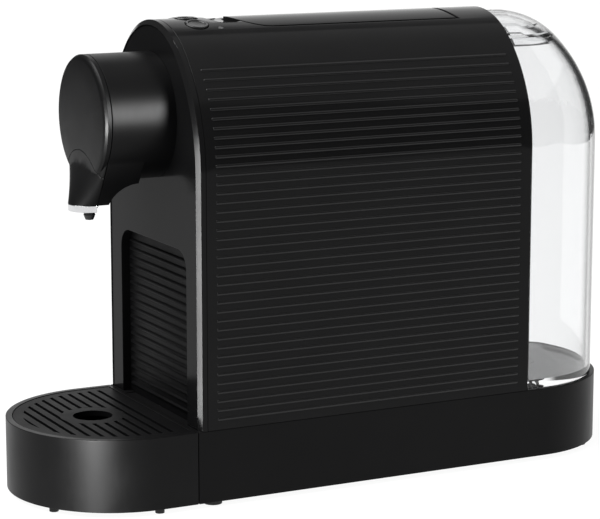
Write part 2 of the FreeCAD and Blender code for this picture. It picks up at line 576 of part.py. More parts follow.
skirt = cut("skirt", skirt_block("skirt_block", 0.0, ("head_front",
    "head_front + spout_skirt + spout_fillet")), rod("skirt_round", "x",
    ("head_front + spout_skirt + spout_fillet", "head_axis - head_radius - spout_fillet"), "spout_fillet",
    ("-half_width", "half_width")), rod("skirt_bore", "y", ("0", "head_axis"), "head_radius - wall",
    ("head_front - 1", "panel_front + 1")))
node("head_sleeve", cut("head_sleeve", fuse("sleeve_form", tube, skirt),
    rod("skirt_well", "z", ("0", "nozzle_y"), "drop_radius + gap", ("spout_bottom - 1", "head_axis"))))
face_disc = turned("face_disc", [("0", "0"), ("head_radius", "0"), ("head_radius", "cap_depth - 3.5"),
    ("head_radius - 1.2", "cap_depth - 2"), ("head_radius - 3.5", "cap_depth - 1.2"),
    ("head_radius * 0.6", "cap_depth - 0.4"), ("0", "cap_depth")],
    ("0", "head_front - seam", "head_axis"), Rotation(Vector(1, 0, 0), 90))
face_form = fuse("face_form", face_disc, spout_loft("spout_form", number("spout_radius") - 0.1,
    number("cap_depth") - 2.5, -number("seam")))
hollow = rod("face_hollow", "y", ("0", "head_axis"), "duct_radius + 2",
    ("head_front - cap_depth + 2", "head_front"))
well = rod("cover_well", "z", ("0", "nozzle_y"), "drop_radius + gap", ("spout_bottom - 1", "head_axis"))
node("head_cap", cut("head_cap", face_form, rod("cap_seam", "y", ("0", SEAM_Z), "seam_radius + 0.15",
    ("head_front - 40", "head_front + 1")), hollow, well))
node("spout_cover", cut("spout_cover", common("cover_form", face_form,
    rod("cover_seam", "y", ("0", SEAM_Z), "seam_radius - 0.15", ("head_front - 40", "head_front + 1"))),
    hollow, well))
ring_wall = cut("ring_wall", rod("ring_outer", "z", ("0", "head_front - seam"), "spout_radius",
    ("spout_bottom - ring_height", "spout_bottom")), rod("ring_inner", "z", ("0", "head_front - seam"),
    "spout_radius - 2.5", ("spout_bottom - ring_height - 1", "spout_bottom + 1")))
node("spout_ring", common("spout_ring", ring_wall, box("ring_front", ("-half_width", "half_width"),
    ("3 * nose", "head_front - seam"), ("0", "crown"))))
NOZZLE_TIP = "head_axis - nozzle_drop"
node("nozzle", turned("nozzle", [("1.5", "0"), ("2.4", "0"), ("3.6", "3"), ("3.2", "3.6"), ("4.6", "5.5"),
    ("4.2", "6.1"), ("5.6", "8"), ("5.6", "nozzle_drop - spout_drop"),
    ("drop_radius", "nozzle_drop - spout_drop"), ("drop_radius", "nozzle_drop - spout_drop + 2"),
    ("1.5", "nozzle_drop - spout_drop + 2")], ("0", "nozzle_y", NOZZLE_TIP)))
duct = fuse("duct_body", rod("duct_level", "y", ("0", "head_axis"), "duct_radius",
    ("nozzle_y - 3", "panel_front")), rod("duct_down", "z", ("0", "nozzle_y"), "drop_radius",
    ("spout_bottom + 2", "head_axis")), rod("duct_flange", "y", ("0", "head_axis"), "duct_radius + 5",
    ("panel_front - 3", "panel_front")))
node("outlet_duct", cut("outlet_duct", duct, rod("duct_bore", "y", ("0", "head_axis"),
    "outlet_radius + gap", ("nozzle_y - 2", "panel_front + 1")),
    rod("duct_drop", "z", ("0", "nozzle_y"), "drop_bore", ("spout_bottom", "head_axis"))))

# Brew unit: chassis plates, fixed injector, sliding pod carriage, lever with shaft and forks, pod chute.
PLATE = [("chassis_front", "base_top"), ("chassis_rear", "base_top"), ("chassis_rear", "crown - 10"),
    ("pivot_y - 12", "crown - 10"), ("pivot_y - 24", "crown - 24"), ("cup_front - 36", "crown - 24"),
    ("cup_front - 36", "head_axis - 30"), ("chassis_front", "head_axis - 38")]
for side, low, high in (("left", "-chassis_place - chassis_sheet", "-chassis_place"),
        ("right", "chassis_place", "chassis_place + chassis_sheet")):
    node(f"chassis_{side}", cut(f"chassis_{side}", plate(f"chassis_plate_{side}", "YZ_Plane", PLATE, low,
        high), rod(f"shaft_hole_{side}", "x", ("pivot_y", "pivot_z"), "shaft_radius + running",
        ("-half_width", "half_width"))))
needle = turned("needle", [("0", "0"), ("2", "0"), ("0.4", "5"), ("0", "5")],
    ("0", "injector_front", "head_axis"), Rotation(Vector(1, 0, 0), 90))
injector = fuse("injector_body", rod("injector_drum", "y", ("0", "head_axis"), "pod_radius + 2",
    ("injector_front", "injector_front + injector_length")), box("injector_ears",
    ("-chassis_place", "chassis_place"), ("injector_front + 6", "injector_front + 18"),
    ("head_axis - 14", "rail_low - 3")), rod("injector_pipe", "y", ("0", "head_axis"),
    "hose_bore - running", ("injector_front + injector_length", "injector_front + injector_length + 10")),
    needle)
node("injector", injector)
seal = doc.addObject("Part::Torus", "pod_seal")
seal.Placement = Placement(Vector(), TURN["y"])
for place, formula in (("Radius1", "pod_radius + 0.5"), ("Radius2", "0.85"),
        ("Placement.Base.y", "injector_front - 0.85"), ("Placement.Base.z", "head_axis")):
    bind(seal, place, formula)
node("pod_seal", seal)
RAIL_END = "pin_y + pin_radius + 3"
rails = [box(f"rail{i}", (f"{low} * (chassis_place - gap) - {shift} * rail_sheet",
    f"{low} * (chassis_place - gap) + {1 - shift} * rail_sheet"), ("plate_front", RAIL_END),
    ("rail_low", "rail_low + rail_height")) for i, low, shift in ((0, -1, 0), (1, 1, 1))]
yoke = box("yoke", ("-chassis_place + gap", "chassis_place - gap"), ("plate_front", "cup_front"),
    ("head_axis - 12", "rail_low + rail_height"))
cup = rod("cup_drum", "y", ("0", "head_axis"), "pod_radius + cup_wall", ("plate_front", "cup_rear"))
outlet = rod("outlet_pipe", "y", ("0", "head_axis"), "outlet_radius", ("panel_front - 6", "plate_front"))
carriage = cut("carriage_body", fuse("carriage_form", yoke, cup, outlet, *rails),
               rod("cup_bore", "y", ("0", "head_axis"), "pod_radius", ("cup_front", "cup_rear + 1")),
               rod("outlet_way", "y", ("0", "head_axis"), "outlet_bore", ("panel_front - 7", "cup_rear")),
               rod("pin_hole", "x", ("pin_y", "pin_z"), "pin_radius", ("-half_width", "half_width")))
node("pod_carriage", carriage)
node("carriage_pin", rod("carriage_pin", "x", ("pin_y", "pin_z"), "pin_radius",
    ("-chassis_place + gap", "chassis_place - gap")))
chute = fuse("chute_form", box("chute_wall", ("-pod_radius - 3", "pod_radius + 3"),
    ("cup_front - 2", "cup_rear + 2"), ("crown - 32", "crown - 21")),
    box("chute_ears", ("-chassis_place", "chassis_place"), ("cup_front + 4", "cup_front + 16"),
    ("crown - 28", "crown - 25")))
node("pod_chute", cut("pod_chute", chute, box("chute_way", ("-pod_radius - 1", "pod_radius + 1"),
    ("cup_front", "cup_rear"), ("crown - 40", "crown"))))
lever_z = ("crown - lever_depth", "crown + 1")
lever_skin = common("lever_skin", arch("lever_arch", "0", (LEVER_NOSE, "body_rear"), "crown - 40"),
    tongue_plan("lever_plan", "0", "0", lever_z))
lever_space = common("lever_space", arch("lever_under", "lever_skin", (LEVER_NOSE, "body_rear"),
    "crown - 40"), tongue_plan("lever_inner", "-lever_skin", "-lever_skin",
    ("crown - lever_depth - 1", "crown")))
lever_hub = rod("lever_hub", "x", ("pivot_y", "pivot_z"), "shaft_radius + running",
    ("-half_width", "half_width"))
node("lever", cut("lever", lever_skin, lever_space, lever_hub))
node("lever_shaft", rod("lever_shaft", "x", ("pivot_y", "pivot_z"), "shaft_radius",
    ("-chassis_place - chassis_sheet - gap", "chassis_place + chassis_sheet + gap")))


def fork(name, low):
    """A forked arm on the lever's shaft that straddles the carriage pin."""
    x = (low, f"{low} + fork_thickness")
    solid = fuse(name + "_form", rod(name + "_hub", "x", ("0", "0"), "2 * shaft_radius", x),
        box(name + "_arm", x, ("-fork_slot / 2 - 3", "fork_slot / 2 + 3"), ("-fork_drop - 10", "0")))
    arm = cut(name, solid, rod(name + "_eye", "x", ("0", "0"), "shaft_radius + running",
        ("-half_width", "half_width")), box(name + "_mouth", ("-half_width", "half_width"),
        ("-fork_slot / 2", "fork_slot / 2"), ("-fork_drop - 11", "-fork_drop + 5")))
    return arm


forks = group("lever_forks", fork("fork_left", "-fork_place - fork_thickness"),
    fork("fork_right", "fork_place"))
forks.Placement = Placement(Vector(), Rotation(Vector(1, 0, 0), 1))
bind(forks, "Placement.Base.y", "pivot_y")
bind(forks, "Placement.Base.z", "pivot_z")
bind(forks, "Placement.Rotation.Angle", "half_swing")
node("lever_forks", forks)

# Controls on the crown: three sprung buttons, their carrier and switches, and the status light.
for side, tilt in button_tilts.items():
    cap = turned(f"button_cap_{side}", [("0", "-9"), ("2.5", "-9"), ("2.5", "-button_depth"),
        ("button_radius", "-button_depth"), ("button_radius", "button_proud - 0.5"),
        ("button_radius - 0.5", "button_proud"), ("button_radius - 1.6", "button_proud"),
        ("button_radius - 2.2", "0"), ("0", "-0.4")])
    node(f"button_{side}", on_crown(cap, tilt, "button_y", "0"))
CARRIER_Y = ("button_y - 9", "button_y + 9")
carrier = common("carrier_form", cut("carrier_ring", arch("carrier_outer", "wall", CARRIER_Y,
    "crown - 60"), arch("carrier_inner", "carrier_drop + 2", ("body_front", "body_rear"), "crown - 70")),
    box("carrier_zone", ("-30", "30"), CARRIER_Y, ("crown - 50", "crown")))
carrier_way = common("carrier_way", arch("carrier_gap", "wall - 1", ("body_front", "body_rear"),
    "crown - 60"), box("carrier_hole", ("-27", "27"), ("body_front", "body_rear"),
    ("crown - 45", "crown")))
carrier_keep = arch("carrier_keep", "carrier_drop", ("body_front", "body_rear"), "crown - 70")
node("button_carrier", cut("button_carrier", carrier, cut("carrier_slot", carrier_way, carrier_keep)))
node("switches", group("switches", *[peg(f"switch_{side}", tilt, "button_y", "3", "carrier_drop - 0.1",
    "10.6") for side, tilt in button_tilts.items()]))
node("status_light", peg("status_light", LIGHT_TILT, LIGHT_Y, "light_radius", "wall + 2", "-0.1"))

# Water path: tank with lid and valve, dock, meter, pump, heater and hoses.
def tank_form(name, inset, front, foot):
    """The tank's arched front run and its domed rear half."""
    return fuse(name, arch(name + "_run", inset, (front, "rear_centre"), foot),
        dome(name + "_dome", inset, foot))


ALL_X, ALL_Y = ("-body_width", "body_width"), ("nose", "-nose")
tank_skin = tank_form("tank_skin", "tank_inset", "tank_front", "tank_bottom")
tank_space = tank_form("tank_space", "tank_inset + tank_wall", "tank_front + tank_wall",
    "tank_bottom + tank_floor")
pipe = rod("tank_pipe", "z", ("0", "valve_y"), "spout_pipe",
    ("base_top - dock_depth + 5", "tank_bottom + 1"))
tank_low = common("tank_low", cut("tank_walls", tank_skin, tank_space),
    box("tank_below", ALL_X, ALL_Y, ("0", "lid_seam - gap / 2")))
VALVE_Z = "base_top - dock_depth + 7"
node("water_tank", cut("water_tank", fuse("tank_form", tank_low, pipe),
    rod("valve_way", "z", ("0", "valve_y"), "valve_bore", (VALVE_Z, "base_top + 20")),
    rod("seat_way", "z", ("0", "valve_y"), "valve_seat", ("0", "base_top"))))
lid_top = common("lid_top", cut("lid_walls", tank_skin, tank_space),
    box("lid_above", ALL_X, ALL_Y, ("lid_seam + gap / 2", "crown + 1")))
skirt_ring = common("lid_ring", cut("lid_ring_walls", tank_form("lid_ring_out",
    "tank_inset + tank_wall + gap", "tank_front + tank_wall + gap", "tank_bottom"),
    tank_form("lid_ring_in", "tank_inset + 2 * tank_wall", "tank_front + 2 * tank_wall",
    "tank_bottom - 1")), box("lid_ring_zone", ALL_X, ALL_Y, ("lid_seam - lid_skirt", "lid_seam + 5")))
lid_root = common("lid_root", cut("lid_root_walls", tank_form("lid_root_out",
    "tank_inset + tank_wall / 2", "tank_front + tank_wall / 2", "tank_bottom"),
    tank_form("lid_root_in", "tank_inset + 2 * tank_wall", "tank_front + 2 * tank_wall",
    "tank_bottom - 1")), box("lid_root_zone", ALL_X, ALL_Y, ("lid_seam + gap / 2", "lid_seam + 5")))
node("tank_lid", fuse("tank_lid", lid_top, lid_root, skirt_ring))
node("tank_valve", turned("tank_valve", [("0", "0.1"), ("valve_bore - gap", "0.1"),
    ("valve_bore - gap", "3"), ("1.8", "3"), ("1.8", "19"), ("0", "19")], ("0", "valve_y", VALVE_Z)))
node("valve_guide", cut("valve_guide", rod("guide_disc", "z", ("0", "valve_y"), "valve_bore + 4",
    ("tank_bottom + tank_floor", "tank_bottom + tank_floor + 2")),
    rod("guide_hole", "z", ("0", "valve_y"), "1.8 + running", ("0", "crown")),
    *[rod(f"guide_way{i}", "z", (f"4 * cos({90 * i} * 1deg)", f"valve_y + 4 * sin({90 * i} * 1deg)"),
    "1.2", ("0", "crown")) for i in range(4)]))
DOCK_LOW = "base_top - dock_depth"
dock = fuse("dock_form", rod("dock_cup", "z", ("0", "valve_y"), "dock_radius",
    (f"{DOCK_LOW} - 6", "base_top")), rod("dock_flange", "z", ("0", "valve_y"), "dock_radius + 4",
    ("base_top - wall - 3", "base_top - wall")), rod("dock_nipple", "y", ("0", f"{DOCK_LOW} - 1"),
    "hose_bore - running", ("valve_y - dock_radius - 10", "valve_y")))
dock_cut = cut("dock_hollow", dock, rod("dock_space", "z", ("0", "valve_y"), "spout_pipe + 1.9",
    (f"{DOCK_LOW} + 2", "base_top + 1")), rod("dock_bore", "y", ("0", f"{DOCK_LOW} - 1"), "1.5",
    ("valve_y - dock_radius - 11", "valve_y")))
node("tank_dock", fuse("tank_dock", dock_cut, rod("dock_pin", "z", ("0", "valve_y"), "valve_seat - 1.4",
    (f"{DOCK_LOW} + 1", f"{VALVE_Z} - gap"))))
ring = doc.addObject("Part::Torus", "dock_seal")
for place, formula in (("Radius1", "spout_pipe + 1.05"), ("Radius2", "0.75"),
        ("Placement.Base.y", "valve_y"), ("Placement.Base.z", "base_top - 4")):
    bind(ring, place, formula)
node("dock_seal", ring)
meter = fuse("meter_form", rod("meter_drum", "z", ("0", "meter_y"), "meter_radius",
    ("base_top", "base_top + meter_height + 12")), rod("meter_foot", "z", ("0", "meter_y"),
    "hose_bore - running", ("base_top - 2.5", "base_top + 1")),
    rod("meter_out", "y", ("0", "pump_z"), "hose_bore - running",
    ("meter_y - meter_radius - 7", "meter_y")))
node("flow_meter", meter)
node("feed_hose", hose("feed_hose", ("valve_y - dock_radius - 0.3", f"{DOCK_LOW} - 1"),
    ("meter_y", f"{DOCK_LOW} - 1"), ("meter_y", "base_top - 0.3")))
PUMP_END = "pump_y + pump_length"
pump_body = turned("pump_drum", [("0", "0"), ("pump_radius * 0.6", "0"), ("pump_radius * 0.6", "14"),
    ("pump_radius", "14"), ("pump_radius", "pump_length - 20"), ("pump_radius * 0.5", "pump_length - 20"),
    ("pump_radius * 0.5", "pump_length - 6"), ("hose_bore - running", "pump_length - 6"),
    ("hose_bore - running", "pump_length + 2"), ("0", "pump_length + 2")], ("0", "pump_y", "pump_z"),
    TURN["y"])
pump_out = rod("pump_out", "z", ("0", "pump_y + 7"), "hose_bore - running",
    ("pump_z", "pump_z + pump_radius * 0.6 + 10"))
node("pump", fuse("pump", pump_body, pump_out))
saddles = [cut(f"saddle{i}", box(f"saddle_block{i}", ("-pump_radius * 0.7", "pump_radius * 0.7"),
    (f"pump_y + {y}", f"pump_y + {y} + 8"), ("base_top", "pump_z - 6")),
    rod(f"saddle_bed{i}", "y", ("0", "pump_z"), "pump_radius", ("nose", "-nose"))) for i,
    y in enumerate((18, 40))]
node("pump_mounts", group("pump_mounts", *saddles))
node("pump_hose", hose("pump_hose", (f"{PUMP_END} - 5.7", "pump_z"),
    ("meter_y - meter_radius - 0.3", "pump_z")))
heater_core = box("heater_core", ("-18", "18"), ("pump_y - 2", "pump_y - 2 + heater_length"),
    ("heater_z", "heater_z + heater_height"))
heater_lugs = box("heater_lugs", ("-chassis_place", "chassis_place"), ("pump_y + 20", "pump_y + 34"),
    ("heater_z + 20", "heater_z + 28"))
HEATER_OUT = "pump_y + heater_length - 12"
heater_in = rod("heater_in", "z", ("0", "pump_y + 7"), "hose_bore - running",
    ("heater_z - 7", "heater_z + 1"))
heater_up = rod("heater_up", "z", ("0", HEATER_OUT), "hose_bore - running",
    ("heater_z + heater_height - 1", "heater_z + heater_height + 7"))
node("heater", fuse("heater", heater_core, heater_lugs, heater_in, heater_up))
node("thermostats", group("thermostats", *[rod(f"thermostat{i}", "x", (f"pump_y + {y}", "heater_z + 44"),
    "7", ("18", "21.5")) for i, y in enumerate((14, 44))]))
node("pressure_hose", hose("pressure_hose", ("pump_y + 7", "pump_z + pump_radius * 0.6 + 0.3"),
    ("pump_y + 7", "heater_z - 0.3")))
node("brew_hose", hose("brew_hose", (HEATER_OUT, "heater_z + heater_height + 0.3"),
    (HEATER_OUT, "head_axis"), ("injector_front + injector_length + 0.3", "head_axis")))
BOARD_Y, BOARD_Z = "pump_y + 3", "base_top + 43"
node("control_board", fuse("control_board", box("board_card",
    ("-board_place - board_sheet", "-board_place"), (BOARD_Y, f"{BOARD_Y} + board_length"),
    (BOARD_Z, f"{BOARD_Z} + board_height")), box("board_relay",
    ("-board_place - board_sheet - 12", "-board_place - board_sheet"),
    (f"{BOARD_Y} + 8", f"{BOARD_Y} + 30"), (f"{BOARD_Z} + 10", f"{BOARD_Z} + 30")),
    box("board_coil", ("-board_place - board_sheet - 15", "-board_place - board_sheet"),
    (f"{BOARD_Y} + 40", f"{BOARD_Y} + 66"), (f"{BOARD_Z} + 40", f"{BOARD_Z} + 64"))))
node("board_posts", group("board_posts", *[rod(f"post{i}{j}", "x",
    (f"{BOARD_Y} + 6 + {i} * (board_length - 12)", f"{BOARD_Z} + 6 + {j} * (board_height - 12)"),
    "post_radius", ("-board_place", "-chassis_place - chassis_sheet")) for i in (0, 1) for j in (0, 1)]))

doc.recompute()
for item in doc.Objects:
    if "Invalid" in item.State or "Error" in item.State:
        raise RuntimeError(f"{item.Name} failed: {item.State}")
for name, item in nodes.items():
    if item.Shape.isNull() or not item.Shape.isValid():
        raise RuntimeError(f"{name} has no sound shape")
os.makedirs("parts", exist_ok=True)
for name, item in nodes.items():
    item.Shape.exportStep(f"parts/{name}.step")
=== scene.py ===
import json
import math

import bmesh
import bpy
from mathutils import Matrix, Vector

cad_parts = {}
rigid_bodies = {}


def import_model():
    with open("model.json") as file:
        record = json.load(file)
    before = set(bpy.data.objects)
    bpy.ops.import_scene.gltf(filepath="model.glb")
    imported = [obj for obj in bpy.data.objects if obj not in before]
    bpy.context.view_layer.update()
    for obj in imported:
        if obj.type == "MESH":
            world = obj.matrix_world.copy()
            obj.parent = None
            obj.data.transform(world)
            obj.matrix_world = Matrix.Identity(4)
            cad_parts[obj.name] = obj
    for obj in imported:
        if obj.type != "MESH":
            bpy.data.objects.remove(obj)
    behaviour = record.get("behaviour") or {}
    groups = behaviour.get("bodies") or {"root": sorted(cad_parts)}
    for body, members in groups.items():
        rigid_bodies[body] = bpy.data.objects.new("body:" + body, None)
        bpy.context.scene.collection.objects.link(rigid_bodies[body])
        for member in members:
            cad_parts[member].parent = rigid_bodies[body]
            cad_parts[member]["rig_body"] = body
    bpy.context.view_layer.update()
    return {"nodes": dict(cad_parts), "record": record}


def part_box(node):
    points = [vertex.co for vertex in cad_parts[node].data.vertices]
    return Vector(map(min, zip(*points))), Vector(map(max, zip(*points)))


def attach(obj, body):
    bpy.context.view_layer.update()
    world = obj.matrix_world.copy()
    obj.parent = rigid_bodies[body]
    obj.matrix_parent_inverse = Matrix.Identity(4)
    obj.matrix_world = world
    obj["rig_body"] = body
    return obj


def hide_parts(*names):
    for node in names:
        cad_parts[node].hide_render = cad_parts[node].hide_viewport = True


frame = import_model()

bl_info = {
    "name": "Pod Coffee Machine",
    "version": (1, 0, 0),
    "blender": (4, 5, 0),
    "location": "View3D > Sidebar > Coffee",
    "description": "Builds the looks of a slim pod coffee machine round its CAD pieces",
    "category": "Object",
}

SLOT_OF = {part["node"]: part["material_slot"] for part in frame["record"]["subparts"]}
MM = 0.001

# Mending of the copied CAD meshes
WELD_DISTANCE = 2e-6
DEGENERATE_LENGTH = 1e-6
FLAT_ANGLE = math.radians(0.3)
BEVEL_SEGMENTS = 3

# What stands further out of the shell's outline than this is a CAD rib
SKIN_SLACK = 0.05 * MM

# The arch rim's sloped front: its width, and how far its outer edge lies back
RIM_WIDTH = 3 * MM
RIM_SLOPE = 2 * MM

# The ribs of the bin's face, from the lowest height to the highest
BIN_RIB_PROUD = 1.2 * MM
BIN_RIB_HALF = 1.1 * MM
BIN_RIB_LENGTH = 0.092
BIN_RIB_LOW = 0.05
BIN_RIB_HIGH = 0.152

# The base's screws
SCREW_HEAD_HEIGHT = 1.5 * MM
SCREW_SHANK_RADIUS = 1.5 * MM
SCREW_HEAD_RADIUS = 2 * SCREW_SHANK_RADIUS

# Clear plastic: how edge on a wall is where its painted dark edge starts and is full, how upright a
# normal is where a wall counts as flat and as curved, the colour of the painted edge shade, and the
# refractive index, with a low one for flat walls so that the tank's floor mirrors less
EDGE_START, EDGE_FULL = 0.6, 0.84
FLAT_WALL, CURVED_WALL = 0.997, 0.985
PAINTED_EDGE_SHADE = (0.03, 0.0305, 0.031, 1.0)
CLEAR_IOR = 1.49
FLAT_IOR = 1.09

# The backdrop's patch that the machine mirrors: cosines to each direction where it is dark and white
PATCH_AHEAD = (0.15, 0.45)
PATCH_ACROSS = (0.42, 0.3)
PATCH_ABOVE = (0.84, 0.6)

# Lights: name, setting with its power, place, size, and the pieces it is linked to (none for all).
# A linked strip faces level to the middle, and a softbox faces this height above the floor.
LIGHTS = (
    ("overhead", "overhead_power", (-0.2, -1.3, 2.2), (2.6, 1.6), ()),
    ("rear_softbox", "rear_power", (0.5, 1.1, 2.0), (2.4, 2.4), ()),
    ("rim_strip", "rim_power", (0.09, -0.31, 0.16), (0.04, 0.32), ("front_bezel",)),
    ("front_strip", "front_power", (0.48, -0.62, 0.1), (0.05, 0.2),
     ("drip_tray", "spout_cover", "head_cap")),
    ("right_strip", "right_power", (0.474, 0.05, 0.33), (0.14, 0.25),
     ("head_sleeve", "head_cap", "spout_cover", "spout_ring")),
)
SOFTBOX_AIM = 0.15
SENSOR_WIDTH = 36.0

# The finish of each slot inside the machine
INSIDE_FINISH = {
    "satin_shell": "satin_black", "inner_frame": "inner_grey", "steel": "plain_steel",
    "rubber": "rubber_black", "natural_hose": "silicone", "heater_alloy": "cast_alloy",
    "board": "laminate", "white_part": "white_plastic",
}


# Settings

class ShellSettings(bpy.types.PropertyGroup):
    """Sizes of the shell's outline and of the ribs on the shell and on the bin's face."""

    half_width: bpy.props.FloatProperty(
        name="Half Width", description="Half the shell's width", default=0.068, unit="LENGTH")
    spring: bpy.props.FloatProperty(
        name="Spring", description="Height where the straight sides end", default=0.2003, unit="LENGTH")
    side_radius: bpy.props.FloatProperty(
        name="Side Radius", description="Radius of the shoulders", default=0.09704, unit="LENGTH")
    crown_radius: bpy.props.FloatProperty(
        name="Crown Radius", description="Radius of the top", default=0.056, unit="LENGTH")
    crown_centre: bpy.props.FloatProperty(
        name="Crown Centre", description="Height of the top's centre", default=0.2293, unit="LENGTH")
    rib_first: bpy.props.FloatProperty(
        name="First Rib", description="Height of the lowest rib", default=0.0536, unit="LENGTH")
    rib_pitch: bpy.props.FloatProperty(
        name="Rib Pitch", description="Distance from rib to rib", default=0.0054, unit="LENGTH")
    rib_count: bpy.props.IntProperty(
        name="Ribs", description="Number of ribs on each side", default=39)
    rib_proud: bpy.props.FloatProperty(
        name="Rib Height", description="How far a side rib stands out", default=0.0006, unit="LENGTH")
    rib_half: bpy.props.FloatProperty(
        name="Rib Half Width", description="Half the width of a side rib", default=0.001, unit="LENGTH")
    rib_front: bpy.props.FloatProperty(
        name="Rib Front", description="Where the side ribs start", default=-0.098, unit="LENGTH")
    rib_rear: bpy.props.FloatProperty(
        name="Rib Rear", description="Where the side ribs end", default=0.1115, unit="LENGTH")


class FinishSettings(bpy.types.PropertyGroup):
    """How far edges are rounded and how strong the surface detail is."""

    edge: bpy.props.FloatProperty(
        name="Edge Rounding", description="Rounding of moulded edges", default=0.0004, unit="LENGTH")
    fine_edge: bpy.props.FloatProperty(
        name="Fine Rounding", description="Rounding of small pieces", default=0.0002, unit="LENGTH")
    smooth_angle: bpy.props.FloatProperty(
        name="Smooth Angle", description="Edges flatter than this are shaded smooth",
        default=math.radians(32), subtype="ANGLE")
    grain_depth: bpy.props.FloatProperty(
        name="Grain Depth", description="Depth of the moulded grain", default=0.00002, unit="LENGTH")


class StageSettings(bpy.types.PropertyGroup):
    """Floor, lights and camera."""

    floor_size: bpy.props.FloatProperty(
        name="Floor Size", description="Width of the floor", default=3.4, unit="LENGTH")
    backdrop: bpy.props.FloatProperty(
        name="Backdrop", description="Brightness of the white backdrop behind the machine", default=1.05)
    surround: bpy.props.FloatProperty(
        name="Surround", description="Brightness of the dark room on the camera's side", default=0.06)
    overhead_power: bpy.props.FloatProperty(
        name="Overhead Power", description="Power of the overhead softbox", default=96.0, unit="POWER")
    rear_power: bpy.props.FloatProperty(
        name="Rear Power", description="Power of the softbox above the rear", default=12.0, unit="POWER")
    front_power: bpy.props.FloatProperty(
        name="Front Power", description="Power of the strip light in front", default=30.0, unit="POWER")
    rim_power: bpy.props.FloatProperty(
        name="Rim Power", description="Power of the narrow strip that lights the arch rim",
        default=2.0, unit="POWER")
    right_power: bpy.props.FloatProperty(
        name="Right Power", description="Power of the strip light on the right",
        default=6.0, unit="POWER")
    lens: bpy.props.FloatProperty(
        name="Lens", description="Focal length on a 36 mm sensor, in millimetres", default=140.73)
    camera_place: bpy.props.FloatVectorProperty(
        name="Camera Place", description="Where the camera stands", default=(1.28983, -0.66841, 0.40176),
        subtype="TRANSLATION")
    camera_aim: bpy.props.FloatVectorProperty(
        name="Camera Aim", description="Direction of view", default=(-0.87503, 0.44787, -0.18366),
        subtype="DIRECTION")


# Node helpers

def new_node(tree, kind, place, values=None, **options):
    """A node at a place, with its options and unlinked sockets set."""
    node = tree.nodes.new(kind)
    node.location = place
    for key, value in options.items():
        setattr(node, key, value)
    for key, value in (values or {}).items():
        node.inputs[key].default_value = value
    return node


def open_group(name, inputs, outputs, kind="ShaderNodeTree"):
    """An empty node group. Inputs are (name, socket type, default), outputs are (name, socket type)."""
    tree = bpy.data.node_groups.new(name, kind)
    for label, socket, default in inputs:
        made = tree.interface.new_socket(label, in_out="INPUT", socket_type=socket)
        if default is not None:
            made.default_value = default
    for label, socket in outputs:
        tree.interface.new_socket(label, in_out="OUTPUT", socket_type=socket)
    return tree, new_node(tree, "NodeGroupInput", (-900, 0)), new_node(tree, "NodeGroupOutput", (600, 0))


def grain_group():
    """Fine moulded grain as a normal."""
    tree, into, out = open_group(
        "Moulded Grain",
        [("Scale", "NodeSocketFloat", 1800.0), ("Depth", "NodeSocketFloat", 0.00002),
         ("Strength", "NodeSocketFloat", 0.3)],
        [("Normal", "NodeSocketVector")])
    place = new_node(tree, "ShaderNodeTexCoord", (-900, -250))
    noise = new_node(tree, "ShaderNodeTexNoise", (-500, 0), {"Detail": 3.0, "Roughness": 0.6})
    bump = new_node(tree, "ShaderNodeBump", (200, 0))
    tree.links.new(place.outputs["Object"], noise.inputs["Vector"])
    tree.links.new(into.outputs["Scale"], noise.inputs["Scale"])
    tree.links.new(noise.outputs["Fac"], bump.inputs["Height"])
    tree.links.new(into.outputs["Depth"], bump.inputs["Distance"])
    tree.links.new(into.outputs["Strength"], bump.inputs["Strength"])
    tree.links.new(bump.outputs["Normal"], out.inputs["Normal"])
    return tree


def handling_group():
    """Roughness that drifts between two values, with finer wiping marks in it."""
    tree, into, out = open_group(
        "Handling Marks",
        [("Low", "NodeSocketFloat", 0.1), ("High", "NodeSocketFloat", 0.2),
         ("Scale", "NodeSocketFloat", 22.0)],
        [("Roughness", "NodeSocketFloat")])
    place = new_node(tree, "ShaderNodeTexCoord", (-900, -250))
    broad = new_node(tree, "ShaderNodeTexNoise", (-500, 100), {"Detail": 4.0, "Distortion": 0.6})
    stretch = new_node(tree, "ShaderNodeMapping", (-700, -300), {"Scale": (1.0, 6.0, 1.0)})
    wipes = new_node(tree, "ShaderNodeTexNoise", (-500, -250), {"Scale": 90.0, "Detail": 2.0})
    both = new_node(tree, "ShaderNodeMath", (-200, 0), {1: 0.25}, operation="MULTIPLY_ADD")
    spread = new_node(tree, "ShaderNodeMapRange", (200, 0), {"From Min": 0.35, "From Max": 0.9})
    tree.links.new(place.outputs["Object"], broad.inputs["Vector"])
    tree.links.new(place.outputs["Object"], stretch.inputs["Vector"])
    tree.links.new(stretch.outputs["Vector"], wipes.inputs["Vector"])
    tree.links.new(into.outputs["Scale"], broad.inputs["Scale"])
    tree.links.new(wipes.outputs["Fac"], both.inputs[0])
    tree.links.new(broad.outputs["Fac"], both.inputs[2])
    tree.links.new(both.outputs["Value"], spread.inputs["Value"])
    tree.links.new(into.outputs["Low"], spread.inputs["To Min"])
    tree.links.new(into.outputs["High"], spread.inputs["To Max"])
    tree.links.new(spread.outputs["Result"], out.inputs["Roughness"])
    return tree


